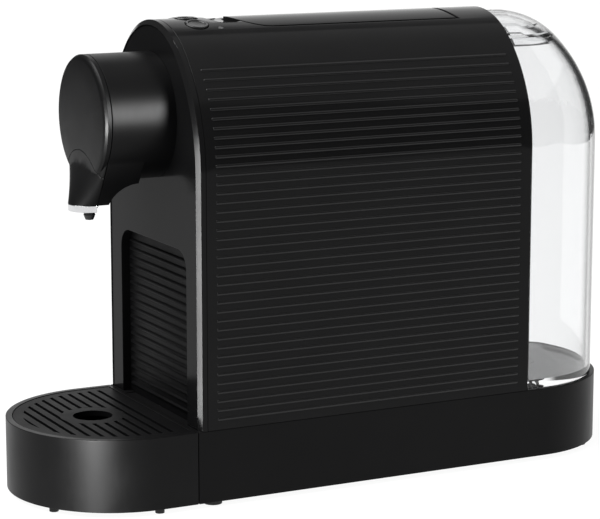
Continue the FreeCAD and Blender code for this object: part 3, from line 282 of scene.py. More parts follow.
def tone_group():
    """A colour that drifts slowly between two tones, with a little pale dust on upward faces."""
    tree, into, out = open_group(
        "Tone And Dust",
        [("Tone A", "NodeSocketColor", (0.01, 0.01, 0.01, 1)),
         ("Tone B", "NodeSocketColor", (0.02, 0.02, 0.02, 1)),
         ("Scale", "NodeSocketFloat", 30.0), ("Dust", "NodeSocketFloat", 0.01)],
        [("Colour", "NodeSocketColor")])
    place = new_node(tree, "ShaderNodeTexCoord", (-900, -250))
    drift = new_node(tree, "ShaderNodeTexNoise", (-600, 150), {"Detail": 3.0})
    blend = new_node(tree, "ShaderNodeMix", (-200, 150), data_type="RGBA")
    specks = new_node(tree, "ShaderNodeTexNoise", (-600, -200), {"Scale": 900.0, "Detail": 2.0})
    surface = new_node(tree, "ShaderNodeNewGeometry", (-900, -500))
    parts = new_node(tree, "ShaderNodeSeparateXYZ", (-700, -500))
    upward = new_node(tree, "ShaderNodeMath", (-500, -500), {1: 0.0}, operation="MAXIMUM")
    settled = new_node(tree, "ShaderNodeMath", (-300, -300), operation="MULTIPLY")
    amount = new_node(tree, "ShaderNodeMath", (-100, -300), operation="MULTIPLY")
    dusty = new_node(tree, "ShaderNodeMix", (300, 0), {"B": (0.35, 0.34, 0.33, 1)}, data_type="RGBA")
    tree.links.new(place.outputs["Object"], drift.inputs["Vector"])
    tree.links.new(place.outputs["Object"], specks.inputs["Vector"])
    tree.links.new(into.outputs["Scale"], drift.inputs["Scale"])
    tree.links.new(drift.outputs["Fac"], blend.inputs["Factor"])
    tree.links.new(into.outputs["Tone A"], blend.inputs["A"])
    tree.links.new(into.outputs["Tone B"], blend.inputs["B"])
    tree.links.new(surface.outputs["Normal"], parts.inputs["Vector"])
    tree.links.new(parts.outputs["Z"], upward.inputs[0])
    tree.links.new(upward.outputs["Value"], settled.inputs[0])
    tree.links.new(specks.outputs["Fac"], settled.inputs[1])
    tree.links.new(settled.outputs["Value"], amount.inputs[0])
    tree.links.new(into.outputs["Dust"], amount.inputs[1])
    tree.links.new(amount.outputs["Value"], dusty.inputs["Factor"])
    tree.links.new(blend.outputs["Result"], dusty.inputs["A"])
    tree.links.new(dusty.outputs["Result"], out.inputs["Colour"])
    return tree


def finish(name, tones, roughness, grain=(1800.0, 0.2), dust=0.01, drift=30.0, **shader):
    """A material: two tones, a roughness range, a grain (scale, strength), and plain shader values."""
    material = bpy.data.materials.new(name)
    material.use_nodes = True
    tree = material.node_tree
    surface = tree.nodes["Principled BSDF"]
    groups = bpy.data.node_groups
    colour = new_node(tree, "ShaderNodeGroup", (-500, 250), node_tree=groups["Tone And Dust"])
    marks = new_node(tree, "ShaderNodeGroup", (-500, 0), node_tree=groups["Handling Marks"])
    relief = new_node(tree, "ShaderNodeGroup", (-500, -250), node_tree=groups["Moulded Grain"])
    for label, tone in zip(("Tone A", "Tone B"), tones):
        colour.inputs[label].default_value = (*tone, 1.0)
    colour.inputs["Scale"].default_value = drift
    colour.inputs["Dust"].default_value = dust
    marks.inputs["Low"].default_value, marks.inputs["High"].default_value = roughness
    relief.inputs["Scale"].default_value, relief.inputs["Strength"].default_value = grain
    relief.inputs["Depth"].default_value = bpy.context.scene.coffee_finish.grain_depth
    for label, value in shader.items():
        surface.inputs[label.replace("_", " ")].default_value = value
    tree.links.new(colour.outputs["Colour"], surface.inputs["Base Color"])
    tree.links.new(marks.outputs["Roughness"], surface.inputs["Roughness"])
    tree.links.new(relief.outputs["Normal"], surface.inputs["Normal"])
    return material


def clear_finish():
    """Clear moulded plastic with painted shade where a curved wall is seen edge on, standing in for dark
    refraction, and flat walls mirror less.
    """
    material = finish("clear_plastic", [(0.93, 0.934, 0.938), (0.945, 0.949, 0.953)], (0.0, 0.02),
                      grain=(300.0, 0.005), dust=0.0, Transmission_Weight=1.0, IOR=CLEAR_IOR)
    tree = material.node_tree
    surface = tree.nodes["Principled BSDF"]
    tone = surface.inputs["Base Color"].links[0].from_socket
    # Painted shade: the base colour turns dark where a curved wall is seen edge on, standing in for the
    # dark refraction at the tank's edges.
    facing = new_node(tree, "ShaderNodeLayerWeight", (-900, 600), {"Blend": 0.5})
    edge = new_node(tree, "ShaderNodeMapRange", (-700, 600),
                    {"From Min": EDGE_START, "From Max": EDGE_FULL}, interpolation_type="SMOOTHSTEP")
    shape = new_node(tree, "ShaderNodeNewGeometry", (-1300, 900))
    parts = new_node(tree, "ShaderNodeSeparateXYZ", (-1100, 900))
    upright = new_node(tree, "ShaderNodeMath", (-900, 900), operation="ABSOLUTE")
    curved = new_node(tree, "ShaderNodeMapRange", (-700, 900),
                      {"From Min": FLAT_WALL, "From Max": CURVED_WALL})
    bend = new_node(tree, "ShaderNodeMapRange", (-250, 900), {"To Min": FLAT_IOR, "To Max": CLEAR_IOR})
    rim = new_node(tree, "ShaderNodeMath", (-500, 700), operation="MULTIPLY")
    painted_edge_shade = new_node(tree, "ShaderNodeMix", (-250, 450), {"B": PAINTED_EDGE_SHADE}, data_type="RGBA")
    tree.links.new(shape.outputs["Normal"], parts.inputs["Vector"])
    tree.links.new(parts.outputs["Z"], upright.inputs[0])
    tree.links.new(upright.outputs["Value"], curved.inputs["Value"])
    tree.links.new(curved.outputs["Result"], bend.inputs["Value"])
    tree.links.new(bend.outputs["Result"], surface.inputs["IOR"])
    tree.links.new(facing.outputs["Facing"], edge.inputs["Value"])
    tree.links.new(edge.outputs["Result"], rim.inputs[0])
    tree.links.new(curved.outputs["Result"], rim.inputs[1])
    tree.links.new(rim.outputs["Value"], painted_edge_shade.inputs["Factor"])
    tree.links.new(tone, painted_edge_shade.inputs["A"])
    tree.links.new(painted_edge_shade.outputs["Result"], surface.inputs["Base Color"])
    return material


def rib_tree():
    """Ribs with rounded backs and ends on points, each turned by its point's own angles."""
    tree, into, out = open_group(
        "Rib Rows",
        [("Geometry", "NodeSocketGeometry", None), ("Length", "NodeSocketFloat", 0.2),
         ("Height", "NodeSocketFloat", 0.0006), ("Half Width", "NodeSocketFloat", 0.001),
         ("Material", "NodeSocketMaterial", None)],
        [("Geometry", "NodeSocketGeometry")], "GeometryNodeTree")
    ball = new_node(tree, "GeometryNodeMeshUVSphere", (-1100, 300),
                    {"Segments": 20, "Rings": 9, "Radius": 1.0})
    size = new_node(tree, "ShaderNodeCombineXYZ", (-1100, 50))
    grow = new_node(tree, "GeometryNodeTransform", (-850, 200))
    half = new_node(tree, "ShaderNodeMath", (-1100, -200), {1: 0.5}, operation="MULTIPLY")
    reach = new_node(tree, "ShaderNodeMath", (-900, -200), operation="SUBTRACT")
    place = new_node(tree, "GeometryNodeInputPosition", (-1300, -450))
    parts = new_node(tree, "ShaderNodeSeparateXYZ", (-1100, -450))
    end = new_node(tree, "ShaderNodeMath", (-900, -450), operation="SIGN")
    shift = new_node(tree, "ShaderNodeMath", (-700, -300), operation="MULTIPLY")
    along = new_node(tree, "ShaderNodeCombineXYZ", (-550, -150))
    draw_out = new_node(tree, "GeometryNodeSetPosition", (-550, 150))
    lay = new_node(tree, "GeometryNodeTransform", (-350, 100), {"Rotation": (math.pi / 2, 0, 0)})
    round_off = new_node(tree, "GeometryNodeSetShadeSmooth", (-150, 100))
    turn = new_node(tree, "GeometryNodeInputNamedAttribute", (-250, -250), {"Name": "turn"},
                    data_type="FLOAT_VECTOR")
    rows = new_node(tree, "GeometryNodeInstanceOnPoints", (50, 0))
    real = new_node(tree, "GeometryNodeRealizeInstances", (250, 0))
    paint = new_node(tree, "GeometryNodeSetMaterial", (450, 0))
    tree.links.new(into.outputs["Height"], size.inputs["X"])
    tree.links.new(into.outputs["Half Width"], size.inputs["Y"])
    tree.links.new(into.outputs["Half Width"], size.inputs["Z"])
    tree.links.new(ball.outputs["Mesh"], grow.inputs["Geometry"])
    tree.links.new(size.outputs["Vector"], grow.inputs["Scale"])
    tree.links.new(into.outputs["Length"], half.inputs[0])
    tree.links.new(half.outputs["Value"], reach.inputs[0])
    tree.links.new(into.outputs["Half Width"], reach.inputs[1])
    tree.links.new(place.outputs["Position"], parts.inputs["Vector"])
    tree.links.new(parts.outputs["Z"], end.inputs[0])
    tree.links.new(end.outputs["Value"], shift.inputs[0])
    tree.links.new(reach.outputs["Value"], shift.inputs[1])
    tree.links.new(shift.outputs["Value"], along.inputs["Z"])
    tree.links.new(grow.outputs["Geometry"], draw_out.inputs["Geometry"])
    tree.links.new(along.outputs["Vector"], draw_out.inputs["Offset"])
    tree.links.new(draw_out.outputs["Geometry"], lay.inputs["Geometry"])
    tree.links.new(lay.outputs["Geometry"], round_off.inputs["Geometry"])
    tree.links.new(into.outputs["Geometry"], rows.inputs["Points"])
    tree.links.new(round_off.outputs["Geometry"], rows.inputs["Instance"])
    tree.links.new(turn.outputs["Attribute"], rows.inputs["Rotation"])
    tree.links.new(rows.outputs["Instances"], real.inputs["Geometry"])
    tree.links.new(real.outputs["Geometry"], paint.inputs["Geometry"])
    tree.links.new(into.outputs["Material"], paint.inputs["Material"])
    tree.links.new(paint.outputs["Geometry"], out.inputs["Geometry"])
    return tree


def screw_tree():
    """Screws on points at the heads' middles: a head with a hexagon socket below, a shank above."""
    tree, into, out = open_group(
        "Screws",
        [("Geometry", "NodeSocketGeometry", None), ("Head Radius", "NodeSocketFloat", 0.003),
         ("Head Height", "NodeSocketFloat", 0.0015), ("Shank Radius", "NodeSocketFloat", 0.0015),
         ("Shank Length", "NodeSocketFloat", 0.014), ("Material", "NodeSocketMaterial", None)],
        [("Geometry", "NodeSocketGeometry")], "GeometryNodeTree")
    head = new_node(tree, "GeometryNodeMeshCylinder", (-450, 300), {"Vertices": 32})
    socket = new_node(tree, "GeometryNodeMeshCylinder", (-450, 0), {"Vertices": 6})
    shank = new_node(tree, "GeometryNodeMeshCylinder", (-450, -300), {"Vertices": 24})
    below = new_node(tree, "ShaderNodeMath", (-700, 0), {1: -0.5}, operation="MULTIPLY")
    reach = new_node(tree, "ShaderNodeMath", (-900, -300), operation="ADD")
    above = new_node(tree, "ShaderNodeMath", (-700, -300), {1: 0.5}, operation="MULTIPLY")
    down = new_node(tree, "ShaderNodeCombineXYZ", (-450, 150))
    up = new_node(tree, "ShaderNodeCombineXYZ", (-450, -150))
    lower = new_node(tree, "GeometryNodeTransform", (-250, 0))
    lift = new_node(tree, "GeometryNodeTransform", (-250, -300))
    bored = new_node(tree, "GeometryNodeMeshBoolean", (-50, 150), operation="DIFFERENCE")
    screw = new_node(tree, "GeometryNodeJoinGeometry", (120, -100))
    rows = new_node(tree, "GeometryNodeInstanceOnPoints", (300, 0))
    real = new_node(tree, "GeometryNodeRealizeInstances", (480, 0))
    paint = new_node(tree, "GeometryNodeSetMaterial", (660, 0))
    tree.links.new(into.outputs["Head Radius"], head.inputs["Radius"])
    tree.links.new(into.outputs["Head Height"], head.inputs["Depth"])
    tree.links.new(into.outputs["Shank Radius"], socket.inputs["Radius"])
    tree.links.new(into.outputs["Head Height"], socket.inputs["Depth"])
    tree.links.new(into.outputs["Shank Radius"], shank.inputs["Radius"])
    tree.links.new(into.outputs["Shank Length"], shank.inputs["Depth"])
    tree.links.new(into.outputs["Head Height"], below.inputs[0])
    tree.links.new(below.outputs["Value"], down.inputs["Z"])
    tree.links.new(into.outputs["Head Height"], reach.inputs[0])
    tree.links.new(into.outputs["Shank Length"], reach.inputs[1])
    tree.links.new(reach.outputs["Value"], above.inputs[0])
    tree.links.new(above.outputs["Value"], up.inputs["Z"])
    tree.links.new(socket.outputs["Mesh"], lower.inputs["Geometry"])
    tree.links.new(down.outputs["Vector"], lower.inputs["Translation"])
    tree.links.new(shank.outputs["Mesh"], lift.inputs["Geometry"])
    tree.links.new(up.outputs["Vector"], lift.inputs["Translation"])
    tree.links.new(head.outputs["Mesh"], bored.inputs["Mesh 1"])
    tree.links.new(lower.outputs["Geometry"], bored.inputs["Mesh 2"])
    tree.links.new(bored.outputs["Mesh"], screw.inputs["Geometry"])
    tree.links.new(lift.outputs["Geometry"], screw.inputs["Geometry"])
    tree.links.new(into.outputs["Geometry"], rows.inputs["Points"])
    tree.links.new(screw.outputs["Geometry"], rows.inputs["Instance"])
    tree.links.new(rows.outputs["Instances"], real.inputs["Geometry"])
    tree.links.new(real.outputs["Geometry"], paint.inputs["Geometry"])
    tree.links.new(into.outputs["Material"], paint.inputs["Material"])
    tree.links.new(paint.outputs["Geometry"], out.inputs["Geometry"])
    return tree


# Piece helpers

def settle(piece):
    """Apply a piece's modifiers to its mesh."""
    made = bpy.data.meshes.new_from_object(piece.evaluated_get(bpy.context.evaluated_depsgraph_get()))
    piece.modifiers.clear()
    piece.data = made
    return piece


def shade(mesh):
    """Smooth shading, with creases kept sharp."""
    mesh.shade_smooth()
    mesh.set_sharp_from_angle(angle=bpy.context.scene.coffee_finish.smooth_angle)


def soften(node, finish_name, edge, reshape=None):
    """A copy of a CAD node with rounded edges that stands for it."""
    source = frame["nodes"][node]
    mesh = source.data.copy()
    for extra in ("custom_normal", "UVMap"):
        if extra in mesh.attributes:
            mesh.attributes.remove(mesh.attributes[extra])
    work = bmesh.new()
    work.from_mesh(mesh)
    if reshape:
        reshape(work)
    bmesh.ops.remove_doubles(work, verts=work.verts, dist=WELD_DISTANCE)
    bmesh.ops.dissolve_degenerate(work, edges=work.edges, dist=DEGENERATE_LENGTH)
    bmesh.ops.dissolve_limit(work, angle_limit=FLAT_ANGLE, verts=work.verts, edges=work.edges)
    work.to_mesh(mesh)
    work.free()
    piece = bpy.data.objects.new(f"{node}_look", mesh)
    bpy.context.scene.collection.objects.link(piece)
    if edge:
        rounding = piece.modifiers.new("rounding", "BEVEL")
        rounding.width = edge
        rounding.segments = BEVEL_SEGMENTS
        rounding.limit_method = "ANGLE"
        rounding.angle_limit = bpy.context.scene.coffee_finish.smooth_angle
        rounding.use_clamp_overlap = False
        settle(piece)
    shade(piece.data)
    piece.modifiers.new("flat faces", "WEIGHTED_NORMAL").keep_sharp = True
    settle(piece)
    piece.data.materials.clear()
    piece.data.materials.append(bpy.data.materials[finish_name])
    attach(piece, source["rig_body"])
    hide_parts(node)
    return piece


def repeat(name, body, tree, points, values, material, attributes=None):
    """A piece made by a Geometry Nodes tree on points, riding on a body."""
    mesh = bpy.data.meshes.new(name)
    mesh.from_pydata(points, [], [])
    for key, vectors in (attributes or {}).items():
        held = mesh.attributes.new(key, "FLOAT_VECTOR", "POINT")
        held.data.foreach_set("vector", [number for vector in vectors for number in vector])
    piece = bpy.data.objects.new(name, mesh)
    bpy.context.scene.collection.objects.link(piece)
    maker = piece.modifiers.new("rows", "NODES")
    maker.node_group = bpy.data.node_groups[tree]
    items = maker.node_group.interface.items_tree
    sockets = {item.name: item.identifier for item in items if item.in_out == "INPUT"}
    for key, value in values.items():
        maker[sockets[key]] = value
    maker[sockets["Material"]] = bpy.data.materials[material]
    settle(piece)
    if not len(piece.data.polygons):
        raise RuntimeError(f"{name} came out empty")
    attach(piece, body)
    return piece


def quarter_centres(node, height):
    """Plan centres of a CAD node's four like pieces, one in each quarter, at a height."""
    middle = sum(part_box(node), Vector()) / 2
    quarters = {}
    for vertex in frame["nodes"][node].data.vertices:
        quarters.setdefault((vertex.co.x > middle.x, vertex.co.y > middle.y), []).append(vertex.co)
    centres = []
    for spots in quarters.values():
        across, along = [spot.x for spot in spots], [spot.y for spot in spots]
        centres.append(((min(across) + max(across)) / 2, (min(along) + max(along)) / 2, height))
    return centres


def arch_point(height):
    """(half width, lean of the outline) of the shell at a height."""
    shell = bpy.context.scene.coffee_shell
    if height <= shell.spring:
        return shell.half_width, 0.0
    centre = shell.half_width - shell.side_radius
    meet = math.atan2(shell.crown_centre - shell.spring, -centre)
    lean = math.asin(min(1.0, (height - shell.spring) / shell.side_radius))
    if lean <= meet:
        return centre + shell.side_radius * math.cos(lean), lean
    lean = math.asin(min(1.0, (height - shell.crown_centre) / shell.crown_radius))
    return shell.crown_radius * math.cos(lean), lean


def flatten_shell(work):
    """Lay the CAD's square side ribs back into the skin, for rounded ones."""
    for vertex in work.verts:
        width = arch_point(vertex.co.z)[0]
        if abs(vertex.co.x) > width + SKIN_SLACK:
            vertex.co.x = math.copysign(width, vertex.co.x)


def skin_depth(x, z):
    """How far a point lies inside the shell's outline."""
    shell = bpy.context.scene.coffee_shell
    centre = shell.half_width - shell.side_radius
    if z <= shell.spring:
        return shell.half_width - abs(x)
    meet = math.atan2(shell.crown_centre - shell.spring, -centre)
    if math.atan2(z - shell.spring, abs(x) - centre) <= meet:
        return shell.side_radius - math.hypot(abs(x) - centre, z - shell.spring)
    return shell.crown_radius - math.hypot(x, z - shell.crown_centre)


def slope_rim(work):
    """Slope the rim's front back towards its outer edge, so it catches the strip light."""
    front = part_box("front_bezel")[0].y
    for vertex in work.verts:
        share = 1 - min(1.0, max(0.0, skin_depth(vertex.co.x, vertex.co.z)) / RIM_WIDTH)
        vertex.co.y = max(vertex.co.y, front + RIM_SLOPE * share)


def bin_face():
    """Where the bin's face lies behind its ribs."""
    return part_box("pod_bin")[0].y + BIN_RIB_PROUD


def flatten_bin(work):
    """Lay the square ribs of the bin's face back into it, for rounded ones."""
    face = bin_face()
    for vertex in work.verts:
        vertex.co.y = max(vertex.co.y, face)


def studio_world(scene, stage):
    """A white backdrop that the machine mirrors only in the direction of view, in a dark room."""
    scene.world = bpy.data.worlds.new("studio")
    scene.world.use_nodes = True
    tree = scene.world.node_tree
    aim = Vector(stage.camera_aim)
    place = new_node(tree, "ShaderNodeTexCoord", (-1300, 0))
    limits = (("ahead", aim, PATCH_AHEAD), ("across", aim.cross((0, 0, 1)).normalized(), PATCH_ACROSS),
              ("above", (0, 0, 1), PATCH_ABOVE))
    mask = None
    for row, (name, direction, (dark, white)) in enumerate(limits):
        along = new_node(tree, "ShaderNodeVectorMath", (-1100, -200 * row), {1: direction},
                         operation="DOT_PRODUCT", label=name)
        edge = new_node(tree, "ShaderNodeMapRange", (-700, -200 * row),
                        {"From Min": dark, "From Max": white}, interpolation_type="SMOOTHSTEP")
        tree.links.new(place.outputs["Generated"], along.inputs[0])
        cosine = along.outputs["Value"]
        if name == "across":
            either = new_node(tree, "ShaderNodeMath", (-900, -200 * row), operation="ABSOLUTE")
            tree.links.new(cosine, either.inputs[0])
            cosine = either.outputs["Value"]
        tree.links.new(cosine, edge.inputs["Value"])
        if mask is None:
            mask = edge.outputs["Result"]
            continue
        both = new_node(tree, "ShaderNodeMath", (-450, -200 * row), operation="MULTIPLY")
        tree.links.new(mask, both.inputs[0])
        tree.links.new(edge.outputs["Result"], both.inputs[1])
        mask = both.outputs["Value"]
    spread = new_node(tree, "ShaderNodeMapRange", (-250, 0),
                      {"To Min": stage.surround, "To Max": stage.backdrop})
    path = new_node(tree, "ShaderNodeLightPath", (-700, 300))
    seen = new_node(tree, "ShaderNodeMath", (-450, 200), operation="MAXIMUM")
    tree.links.new(path.outputs["Is Camera Ray"], seen.inputs[0])
    tree.links.new(mask, seen.inputs[1])
    tree.links.new(seen.outputs["Value"], spread.inputs["Value"])
    tree.links.new(spread.outputs["Result"], tree.nodes["Background"].inputs["Strength"])
    tree.nodes["Background"].inputs["Color"].default_value = (1.0, 1.0, 1.0, 1.0)


# Operators

class COFFEE_OT_finishes(bpy.types.Operator):
    """Make the node groups and the materials"""

    bl_idname = "coffee.finishes"
    bl_label = "Finishes"

    def execute(self, context):
        grain_group()
        handling_group()
        tone_group()
        rib_tree()
        screw_tree()
        finish("gloss_black", [(0.0085, 0.0085, 0.0088), (0.0115, 0.0115, 0.0118)], (0.07, 0.16),
               grain=(700.0, 0.02), Specular_IOR_Level=0.085)
        finish("rib_black", [(0.01, 0.01, 0.0103), (0.0135, 0.0135, 0.0138)], (0.18, 0.26),
               grain=(900.0, 0.05), Specular_IOR_Level=0.26)
        finish("satin_black", [(0.003, 0.003, 0.0033), (0.005, 0.005, 0.0053)], (0.32, 0.44),
               grain=(2600.0, 0.2), Specular_IOR_Level=0.11)
        finish("dull_black", [(0.003, 0.003, 0.0033), (0.006, 0.006, 0.0063)], (0.42, 0.54),
               grain=(2600.0, 0.2), Specular_IOR_Level=0.04)
        finish("panel_black", [(0.006, 0.006, 0.0063), (0.0085, 0.0085, 0.0088)], (0.1, 0.2),
               grain=(600.0, 0.03), Specular_IOR_Level=0.03)
        finish("bright_plate", [(0.6, 0.6, 0.61), (0.68, 0.68, 0.69)], (0.08, 0.16),
               grain=(500.0, 0.02), Metallic=1.0)
        clear_finish()
        finish("button_black", [(0.012, 0.012, 0.0123), (0.016, 0.016, 0.0163)], (0.2, 0.3),
               grain=(900.0, 0.05), Specular_IOR_Level=0.3)
        finish("nozzle_grey", [(0.012, 0.012, 0.013), (0.022, 0.022, 0.023)], (0.35, 0.5),
               grain=(2600.0, 0.2))
        finish("rubber_black", [(0.012, 0.012, 0.012), (0.02, 0.02, 0.02)], (0.6, 0.8),
               grain=(3000.0, 0.4))
        finish("plain_steel", [(0.5, 0.5, 0.51), (0.6, 0.6, 0.61)], (0.2, 0.35),
               grain=(1500.0, 0.1), Metallic=1.0)
        finish("inner_grey", [(0.1, 0.1, 0.105), (0.14, 0.14, 0.145)], (0.45, 0.6),
               grain=(2200.0, 0.3))
        finish("silicone", [(0.7, 0.69, 0.65), (0.8, 0.79, 0.76)], (0.3, 0.45),
               grain=(1500.0, 0.1), Subsurface_Weight=0.2)
        finish("cast_alloy", [(0.5, 0.5, 0.51), (0.62, 0.62, 0.63)], (0.35, 0.55),
               grain=(1200.0, 0.5), Metallic=1.0)
        finish("laminate", [(0.01, 0.1, 0.04), (0.02, 0.14, 0.06)], (0.3, 0.45),
               grain=(900.0, 0.1))
        finish("lens", [(0.05, 0.05, 0.052), (0.08, 0.08, 0.083)], (0.15, 0.25),
               grain=(900.0, 0.05))
        finish("white_plastic", [(0.66, 0.66, 0.64), (0.74, 0.74, 0.72)], (0.35, 0.5),
               grain=(2200.0, 0.2))
        finish("floor_white", [(0.11, 0.11, 0.11), (0.13, 0.13, 0.13)], (0.7, 0.9),
               grain=(80.0, 0.02), dust=0.0, drift=1.0, Emission_Color=(1.0, 1.0, 1.0, 1.0),
               Emission_Strength=0.95, Specular_IOR_Level=0.0)
        return {"FINISHED"}


class COFFEE_OT_shell(bpy.types.Operator):
    """Build the arched shell with its rounded side ribs, and the rear panel"""

    bl_idname = "coffee.shell"
    bl_label = "Shell"

    def execute(self, context):
        shell, edge = context.scene.coffee_shell, context.scene.coffee_finish.edge
        soften("main_shell", "gloss_black", edge, flatten_shell)
        soften("rear_panel", "satin_black", edge)
        points, turns = [], []
        for row in range(shell.rib_count):
            height = shell.rib_first + row * shell.rib_pitch
            width, lean = arch_point(height)
            for side in (1, -1):
                points.append((side * width, (shell.rib_front + shell.rib_rear) / 2, height))
                turns.append((0.0, -lean if side > 0 else math.pi + lean, 0.0))
        repeat("side_ribs", "base", "Rib Rows", points,
               {"Length": shell.rib_rear - shell.rib_front, "Height": shell.rib_proud,
                "Half Width": shell.rib_half},
               "rib_black", {"turn": turns})
        return {"FINISHED"}


class COFFEE_OT_front(bpy.types.Operator):
    """Build the arch rim, the gloss panel and the bin's ribbed face"""

    bl_idname = "coffee.front"
    bl_label = "Front"

    def execute(self, context):
        shell, edge = context.scene.coffee_shell, context.scene.coffee_finish.edge
        soften("front_bezel", "gloss_black", 0.0, slope_rim)
        soften("front_panel", "panel_black", edge)
        soften("pod_bin", "dull_black", edge, flatten_bin)
        face = bin_face()
        rows = int((BIN_RIB_HIGH - BIN_RIB_LOW) / shell.rib_pitch)
        points = [(0.0, face, BIN_RIB_LOW + (row + 0.5) * shell.rib_pitch) for row in range(rows)]
        repeat("bin_ribs", "tray", "Rib Rows", points,
               {"Length": BIN_RIB_LENGTH, "Height": BIN_RIB_PROUD, "Half Width": BIN_RIB_HALF},
               "dull_black", {"turn": [(0.0, 0.0, -math.pi / 2)] * rows})
        return {"FINISHED"}


class COFFEE_OT_head(bpy.types.Operator):
    """Build the brew head, its spout, bright ring and nozzle"""

    bl_idname = "coffee.head"
    bl_label = "Brew Head"

    def execute(self, context):
        fine = context.scene.coffee_finish.fine_edge
        for node in ("head_sleeve", "head_cap", "spout_cover"):
            soften(node, "satin_black", fine)
        soften("spout_ring", "bright_plate", fine)
        soften("nozzle", "nozzle_grey", fine)
        return {"FINISHED"}


class COFFEE_OT_base(bpy.types.Operator):
    """Build the base, the drip tray, the grid, the feet and the screws"""

    bl_idname = "coffee.base"
    bl_label = "Base"

    def execute(self, context):
        edge, fine = context.scene.coffee_finish.edge, context.scene.coffee_finish.fine_edge
        for node in ("base_tub", "drip_tray"):
            soften(node, "satin_black", edge)
        soften("base_cover", "satin_black", fine)
        soften("drip_grid", "dull_black", fine)
        for node in ("rubber_feet", "tray_feet", "cord_gland"):
            soften(node, "rubber_black", fine)
        low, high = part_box("base_screws")
        screws = repeat("base_screws_look", "base", "Screws",
                        quarter_centres("base_screws", low.z + SCREW_HEAD_HEIGHT / 2),
                        {"Head Radius": SCREW_HEAD_RADIUS, "Head Height": SCREW_HEAD_HEIGHT,
                         "Shank Radius": SCREW_SHANK_RADIUS,
                         "Shank Length": high.z - low.z - SCREW_HEAD_HEIGHT}, "plain_steel")
        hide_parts("base_screws")
        return {"FINISHED"}


class COFFEE_OT_controls(bpy.types.Operator):
    """Build the lever, the buttons and the status light"""

    bl_idname = "coffee.controls"
    bl_label = "Controls"

    def execute(self, context):
        fine = context.scene.coffee_finish.fine_edge
        soften("lever", "gloss_black", fine)
        for node in ("button_left", "button_middle", "button_right"):
            soften(node, "button_black", fine)
        soften("status_light", "lens", fine)
        return {"FINISHED"}


class COFFEE_OT_tank(bpy.types.Operator):
    """Build the clear tank, its lid and its valve"""

    bl_idname = "coffee.tank"
    bl_label = "Water Tank"

    def execute(self, context):
        fine = context.scene.coffee_finish.fine_edge
        soften("water_tank", "clear_plastic", 0.0)
        soften("tank_lid", "clear_plastic", 0.0)
        for node in ("tank_valve", "valve_guide"):
            soften(node, "white_plastic", fine)
        soften("tank_dock", "satin_black", fine)
        return {"FINISHED"}


class COFFEE_OT_inside(bpy.types.Operator):
    """Paint the pieces inside the machine"""

    bl_idname = "coffee.inside"
    bl_label = "Inside"

    def execute(self, context):
        for node, piece in frame["nodes"].items():
            if piece.hide_render:
                continue
            piece.data.materials.clear()
            piece.data.materials.append(bpy.data.materials[INSIDE_FINISH[SLOT_OF[node]]])
        return {"FINISHED"}


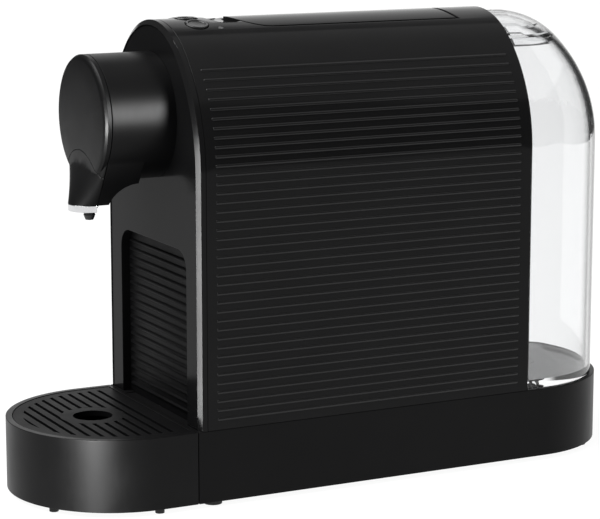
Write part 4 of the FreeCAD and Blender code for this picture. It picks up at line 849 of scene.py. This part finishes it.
class COFFEE_OT_stage(bpy.types.Operator):
    """Lay the floor and set the lights and the camera"""

    bl_idname = "coffee.stage"
    bl_label = "Stage"

    def execute(self, context):
        stage, scene = context.scene.coffee_stage, context.scene
        half = stage.floor_size / 2
        mesh = bpy.data.meshes.new("floor")
        corners = [(-half, -half, 0), (half, -half, 0), (half, half, 0), (-half, half, 0)]
        mesh.from_pydata(corners, [], [(0, 1, 2, 3)])
        mesh.materials.append(bpy.data.materials["floor_white"])
        floor = bpy.data.objects.new("floor", mesh)
        scene.collection.objects.link(floor)
        studio_world(scene, stage)
        for name, power, place, size, lit in LIGHTS:
            lamp = bpy.data.lights.new(name, "AREA")
            lamp.shape, lamp.energy = "RECTANGLE", getattr(stage, power)
            lamp.size, lamp.size_y = size
            holder = bpy.data.objects.new(name, lamp)
            holder.location = place
            aim = Vector((0, 0, place[2] if lit else SOFTBOX_AIM)) - Vector(place)
            holder.rotation_euler = aim.to_track_quat("-Z", "Y").to_euler()
            holder.visible_camera = False
            holder.visible_diffuse = not lit
            scene.collection.objects.link(holder)
            if lit:
                receivers = bpy.data.collections.new(f"{name}_receivers")
                for node in lit:
                    receivers.objects.link(bpy.data.objects[f"{node}_look"])
                holder.light_linking.receiver_collection = receivers
        lens = bpy.data.cameras.new("camera")
        lens.lens, lens.sensor_width, lens.sensor_fit = stage.lens, SENSOR_WIDTH, "HORIZONTAL"
        camera = bpy.data.objects.new("camera", lens)
        camera.location = stage.camera_place
        camera.rotation_euler = Vector(stage.camera_aim).to_track_quat("-Z", "Y").to_euler()
        scene.collection.objects.link(camera)
        scene.camera = camera
        scene.view_settings.view_transform = "Standard"
        return {"FINISHED"}


class COFFEE_PT_panel(bpy.types.Panel):
    """Sidebar panel with the settings and the steps in order"""

    bl_idname = "COFFEE_PT_panel"
    bl_label = "Pod Coffee Machine"
    bl_space_type = "VIEW_3D"
    bl_region_type = "UI"
    bl_category = "Coffee"

    def draw(self, context):
        for group in ("coffee_shell", "coffee_finish", "coffee_stage"):
            box = self.layout.box()
            settings = getattr(context.scene, group)
            for name in settings.__annotations__:
                box.prop(settings, name)
        for step in STEPS:
            self.layout.operator(step.bl_idname)


SETTINGS = {"coffee_shell": ShellSettings, "coffee_finish": FinishSettings, "coffee_stage": StageSettings}
STEPS = (COFFEE_OT_finishes, COFFEE_OT_shell, COFFEE_OT_front, COFFEE_OT_head, COFFEE_OT_base,
         COFFEE_OT_controls, COFFEE_OT_tank, COFFEE_OT_inside, COFFEE_OT_stage)


def register():
    for name, settings in SETTINGS.items():
        bpy.utils.register_class(settings)
        setattr(bpy.types.Scene, name, bpy.props.PointerProperty(type=settings))
    for kind in (*STEPS, COFFEE_PT_panel):
        bpy.utils.register_class(kind)


def unregister():
    for kind in reversed((*STEPS, COFFEE_PT_panel)):
        bpy.utils.unregister_class(kind)
    for name, settings in SETTINGS.items():
        delattr(bpy.types.Scene, name)
        bpy.utils.unregister_class(settings)


def main():
    register()
    bpy.ops.coffee.finishes()
    bpy.ops.coffee.shell()
    bpy.ops.coffee.front()
    bpy.ops.coffee.head()
    bpy.ops.coffee.base()
    bpy.ops.coffee.controls()
    bpy.ops.coffee.tank()
    bpy.ops.coffee.inside()
    bpy.ops.coffee.stage()


if __name__ == "__main__":
    main()
